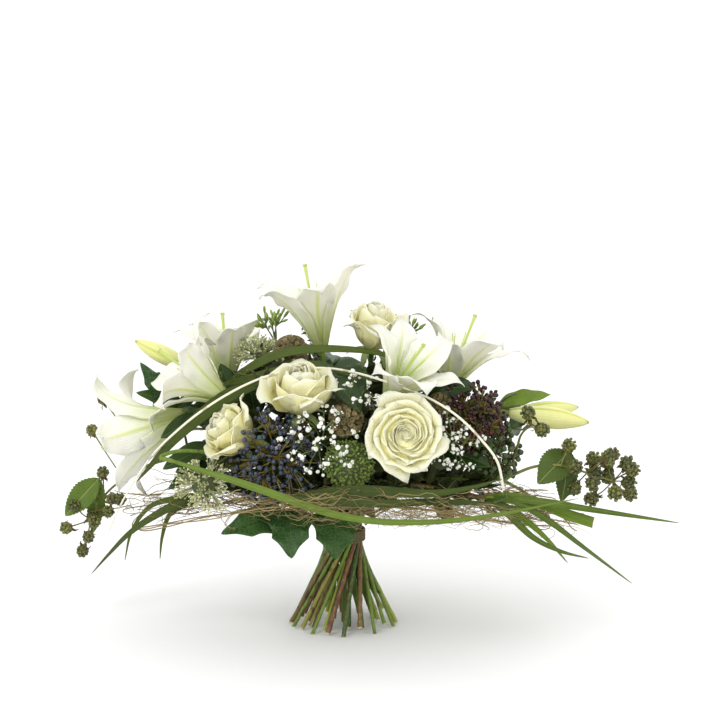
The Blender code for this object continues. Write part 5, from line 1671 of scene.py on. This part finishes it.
def innerSpray(batch, twigs, root, ahead, draw):
    # a thin twig that stops at what is in its way, with a leaflet at each pace
    pace, (long, wide) = fillerSettings["pace"], fillerSettings["leaflet"]
    way = (ahead + wobble(draw, 0.7) + Vector((root.x, root.y, 30)).normalized() * 0.6).normalized()
    path = [root]
    for _ in range(7):
        way = (way + wobble(draw, 0.22)).normalized()
        if not space.clear(path[-1] + way * pace, 1.2) and len(path) > 1:
            break
        path.append(path[-1] + way * pace)
    if len(path) < 4:
        return
    twigs.line(smoothPath(path, 10), (0.8, 0.4), draw.random())
    for foot in path[1:]:
        turn = wobble(draw, 1).normalized()
        tip = foot + (way + turn).normalized() * long
        clearLeaf(batch, foot, tip, turn.cross(way), wide, (2, 4), draw, 1)


def makeFiller(finish, woody, paths):
    # each leaf or spray grows from a stem, where nothing else is
    draw = random.Random(21)
    batch, twigs = Batch("inner_leaves"), Batch("inner_twigs", "girth")
    spots = list(rootsOn(paths))
    for _ in range(fillerSettings["leaves"]):
        innerLeaf(batch, *draw.choice(spots), draw)
    for _ in range(fillerSettings["sprays"]):
        innerSpray(batch, twigs, *draw.choice(spots), draw)
    keep(twigs.tubes(woody, 4), "bramble_green")
    keep(batch.leafy(finish, 0.5), "ivy_green")


# The finishes that several pieces share

# dark, light and pale tones, veins, how strong these are and how rough the leaf is
leafSkins = {name: leafFinish(name, *row) for name, row in {
    "calyx": ((0.10, 0.17, 0.05), (0.26, 0.34, 0.12), (0.40, 0.44, 0.20), longVeins, 0.4, 0.55),
    "ivyLeaf": ((0.010, 0.042, 0.010), (0.048, 0.120, 0.024), (0.24, 0.36, 0.16), palmVeins, 0.34, 0.28),
    "darkLeaf": ((0.012, 0.032, 0.006), (0.045, 0.095, 0.014), (0.14, 0.20, 0.05), featherVeins, 0.4, 0.33),
    "innerLeaf": ((0.014, 0.024, 0.006), (0.070, 0.090, 0.020), (0.13, 0.15, 0.05), featherVeins, 0.4, 0.5),
    "freshLeaf": ((0.016, 0.042, 0.003), (0.17, 0.27, 0.02), (0.32, 0.40, 0.08), longVeins, 0.30, 0.38),
    "darkStrap": ((0.018, 0.036, 0.003), (0.075, 0.110, 0.008), (0.11, 0.15, 0.02), longVeins, 0.35, 0.38),
    "brambleLeaf": ((0.020, 0.042, 0.004), (0.080, 0.125, 0.018), (0.24, 0.30, 0.09), featherVeins, 0.7,
                    0.45),
    "youngBrambleLeaf": ((0.045, 0.090, 0.006), (0.18, 0.27, 0.028), (0.32, 0.38, 0.11), featherVeins, 0.6,
                         0.45),
    "brambleCalyx": ((0.06, 0.045, 0.012), (0.17, 0.12, 0.035), (0.20, 0.18, 0.06), longVeins, 0.3, 0.7),
}.items()}
# dark and light tones, how rough it is, and how fine its mottling
mottled = {name: mottledFinish(name, *row) for name, row in {
    "fibre": ((0.09, 0.060, 0.018), (0.50, 0.39, 0.17), 0.85, 900),
    "umbelFloret": ((0.030, 0.062, 0.008), (0.26, 0.36, 0.06), 0.6, 500),
    "laceFloret": ((0.22, 0.26, 0.07), (0.80, 0.80, 0.50), 0.8, 500),
    "seedCup": ((0.055, 0.043, 0.014), (0.35, 0.27, 0.12), 0.8, 500),
    "headCore": ((0.05, 0.07, 0.03), (0.12, 0.14, 0.06), 0.9),
    "woodyStalk": ((0.05, 0.055, 0.012), (0.24, 0.25, 0.05), 0.6),
    "sprigBud": ((0.11, 0.20, 0.02), (0.34, 0.46, 0.08), 0.45),
    "greenTwig": ((0.06, 0.10, 0.02), (0.20, 0.26, 0.07), 0.6),
    "goldenStalk": ((0.05, 0.035, 0.008), (0.36, 0.28, 0.05), 0.5),
    "gypsophilaFloret": ((0.72, 0.74, 0.62), (0.94, 0.94, 0.91), 0.6, 600),
}.items()}
slotSkins = {
    "umbel_green": mottled["umbelFloret"], "lace_green": mottled["laceFloret"],
    "seed_brown": mottled["seedCup"], "grass_green": mottled["sprigBud"],
    "berry_blue": berryFinish("blueBerry", (0.012, 0.012, 0.030), (0.022, 0.070, 0.078),
                              (0.040, 0.034, 0.085)),
    "berry_purple": berryFinish("purpleBerry", (0.008, 0.003, 0.004), (0.075, 0.012, 0.014),
                                (0.026, 0.008, 0.016), 0.15),
    "berry_green": berryFinish("greenBerry", (0.008, 0.016, 0.004), (0.060, 0.105, 0.012),
                               (0.030, 0.050, 0.014), 0.3),
}


# All the pieces, in the order in which they keep clear of each other

def makeAll(settings, make):
    # make gets each name and its row, and what it makes is then kept clear of
    for name, row in settings["places"].items():
        make(name, row)
        space.add(name)


lilyNames = list(lilySettings["places"])
petalSkin, pistilSkin, budSkin, drupelet = lilyPetalFinish(), pistilFinish(), budFinish(), drupeletFinish()
creamSkin, greenishSkin = rosePetalFinish("rosePetal", 0.0), rosePetalFinish("rosePetalGreenish", 0.22)
lilies = [makeLily(name, petalSkin) for name in lilyNames]
for name in lilyNames:
    makePistil(name, pistilSkin)
for name in roseSettings["places"]:
    makeRose(name, greenishSkin if name == "rose_left" else creamSkin, leafSkins["calyx"])
for name in budSettings["places"]:
    makeBuds(name, budSkin)
print("blooms made")
space.add(*lilyNames, *(name.replace("lily", "pistil") for name in lilyNames), *roseSettings["places"],
          *budSettings["places"], "tie")
stemPaths = makeStems(stemFinish())
makeTie(twineFinish())
print("stems and tie made")
space.add("stems")
makeAll(leafSettings, lambda name, row: makeLeaf(
    name, leafSkins["ivyLeaf" if "ivy" in name else "freshLeaf"]))
makeCollar(mottled["fibre"])
space.add("collar")
makeAll(bladeSettings, lambda name, row: makeBlades(
    name, leafSkins["darkStrap" if row[-1] == "blade_green" or name == "grass_left" else "freshLeaf"]))
makeCane(caneFinish())
space.add("cane")
for lily in lilies:
    space.addMesh(lily.data)
print("leaves, collar and cane made")
makeAll(headSettings, lambda name, row: makeHead(name, slotSkins[row[4]], mottled["headCore"]))
makeAll(brambleSettings, lambda name, row: makeBramble(
    name, drupelet, mottled["woodyStalk"], leafSkins[row[-1]], leafSkins["brambleCalyx"]))
makeAll(umbelSettings, lambda name, row: makeUmbel(
    name, slotSkins[row[6]], mottled["goldenStalk" if "berry" in row[6] else "greenTwig"]))
makeAll(gypsophilaSettings, lambda name, row: makeGypsophila(
    name, mottled["gypsophilaFloret"], mottled["greenTwig"]))
makeAll(twigSettings, lambda name, row: makeLeafyTwig(name, leafSkins["darkLeaf"], mottled["woodyStalk"]))
makeLaurel(leafSkins["darkLeaf"], mottled["woodyStalk"], stemPaths)
makeFiller(leafSkins["innerLeaf"], mottled["woodyStalk"], stemPaths)
print("fillers made")


# The stage: a pale floor, soft lights and the camera

stageSettings = {
    "floor": 120.0, "centre": (0.020, 0, 0.325), "distance": 2.4, "elevation": 9, "lens": 100, "sky": 1.07,
    # place, size, power
    "lights": (((-1.4, -2.2, 2.6), 1.3, 28), ((2.4, -1.6, 1.6), 2.4, 5), ((0.6, 2.4, 2.4), 2.0, 14),
               ((-0.4, -2.6, 0.5), 2.0, 6)),
}


def aimedAt(target, name, data, place):
    obj = linked(name, data)
    obj.location = place
    obj.rotation_euler = (target - obj.location).to_track_quat("-Z", "Y").to_euler()
    return obj


def makeStage():
    stem, size = toFrame.translation, stageSettings["floor"]
    target = Vector(stageSettings["centre"]) + stem
    floor = linked("floor", bpy.data.meshes.new("floor"))
    floor.data.from_pydata([(x * size, y * size, 0) for x, y in ((-1, -1), (1, -1), (1, 1), (-1, 1))], [],
                           [(0, 1, 2, 3)])
    pale = Finish("paleFloor", Roughness=0.9, Base_Color=(0.94, 0.94, 0.94, 1))
    floor.data.materials.append(pale.material)
    for place, wide, power in stageSettings["lights"]:
        lamp = bpy.data.lights.new("softbox", "AREA")
        lamp.shape, lamp.size, lamp.energy = "DISK", wide, power
        aimedAt(target, "softbox", lamp, Vector(place) + stem)
    world = bpy.data.worlds.new("studio")
    world.use_nodes = True
    sky = world.node_tree.nodes["Background"].inputs
    sky["Color"].default_value, sky["Strength"].default_value = (1.0, 1.0, 1.0, 1), stageSettings["sky"]
    bpy.context.scene.world = world
    bpy.context.scene.view_settings.view_transform = "Standard"
    rise = radians(stageSettings["elevation"])
    view = bpy.data.cameras.new("camera")
    view.lens, view.sensor_width = stageSettings["lens"], 36
    back = Vector((0, -cos(rise), sin(rise))) * stageSettings["distance"]
    bpy.context.scene.camera = aimedAt(target, "camera", view, target + back)


makeStage()
print("staged")
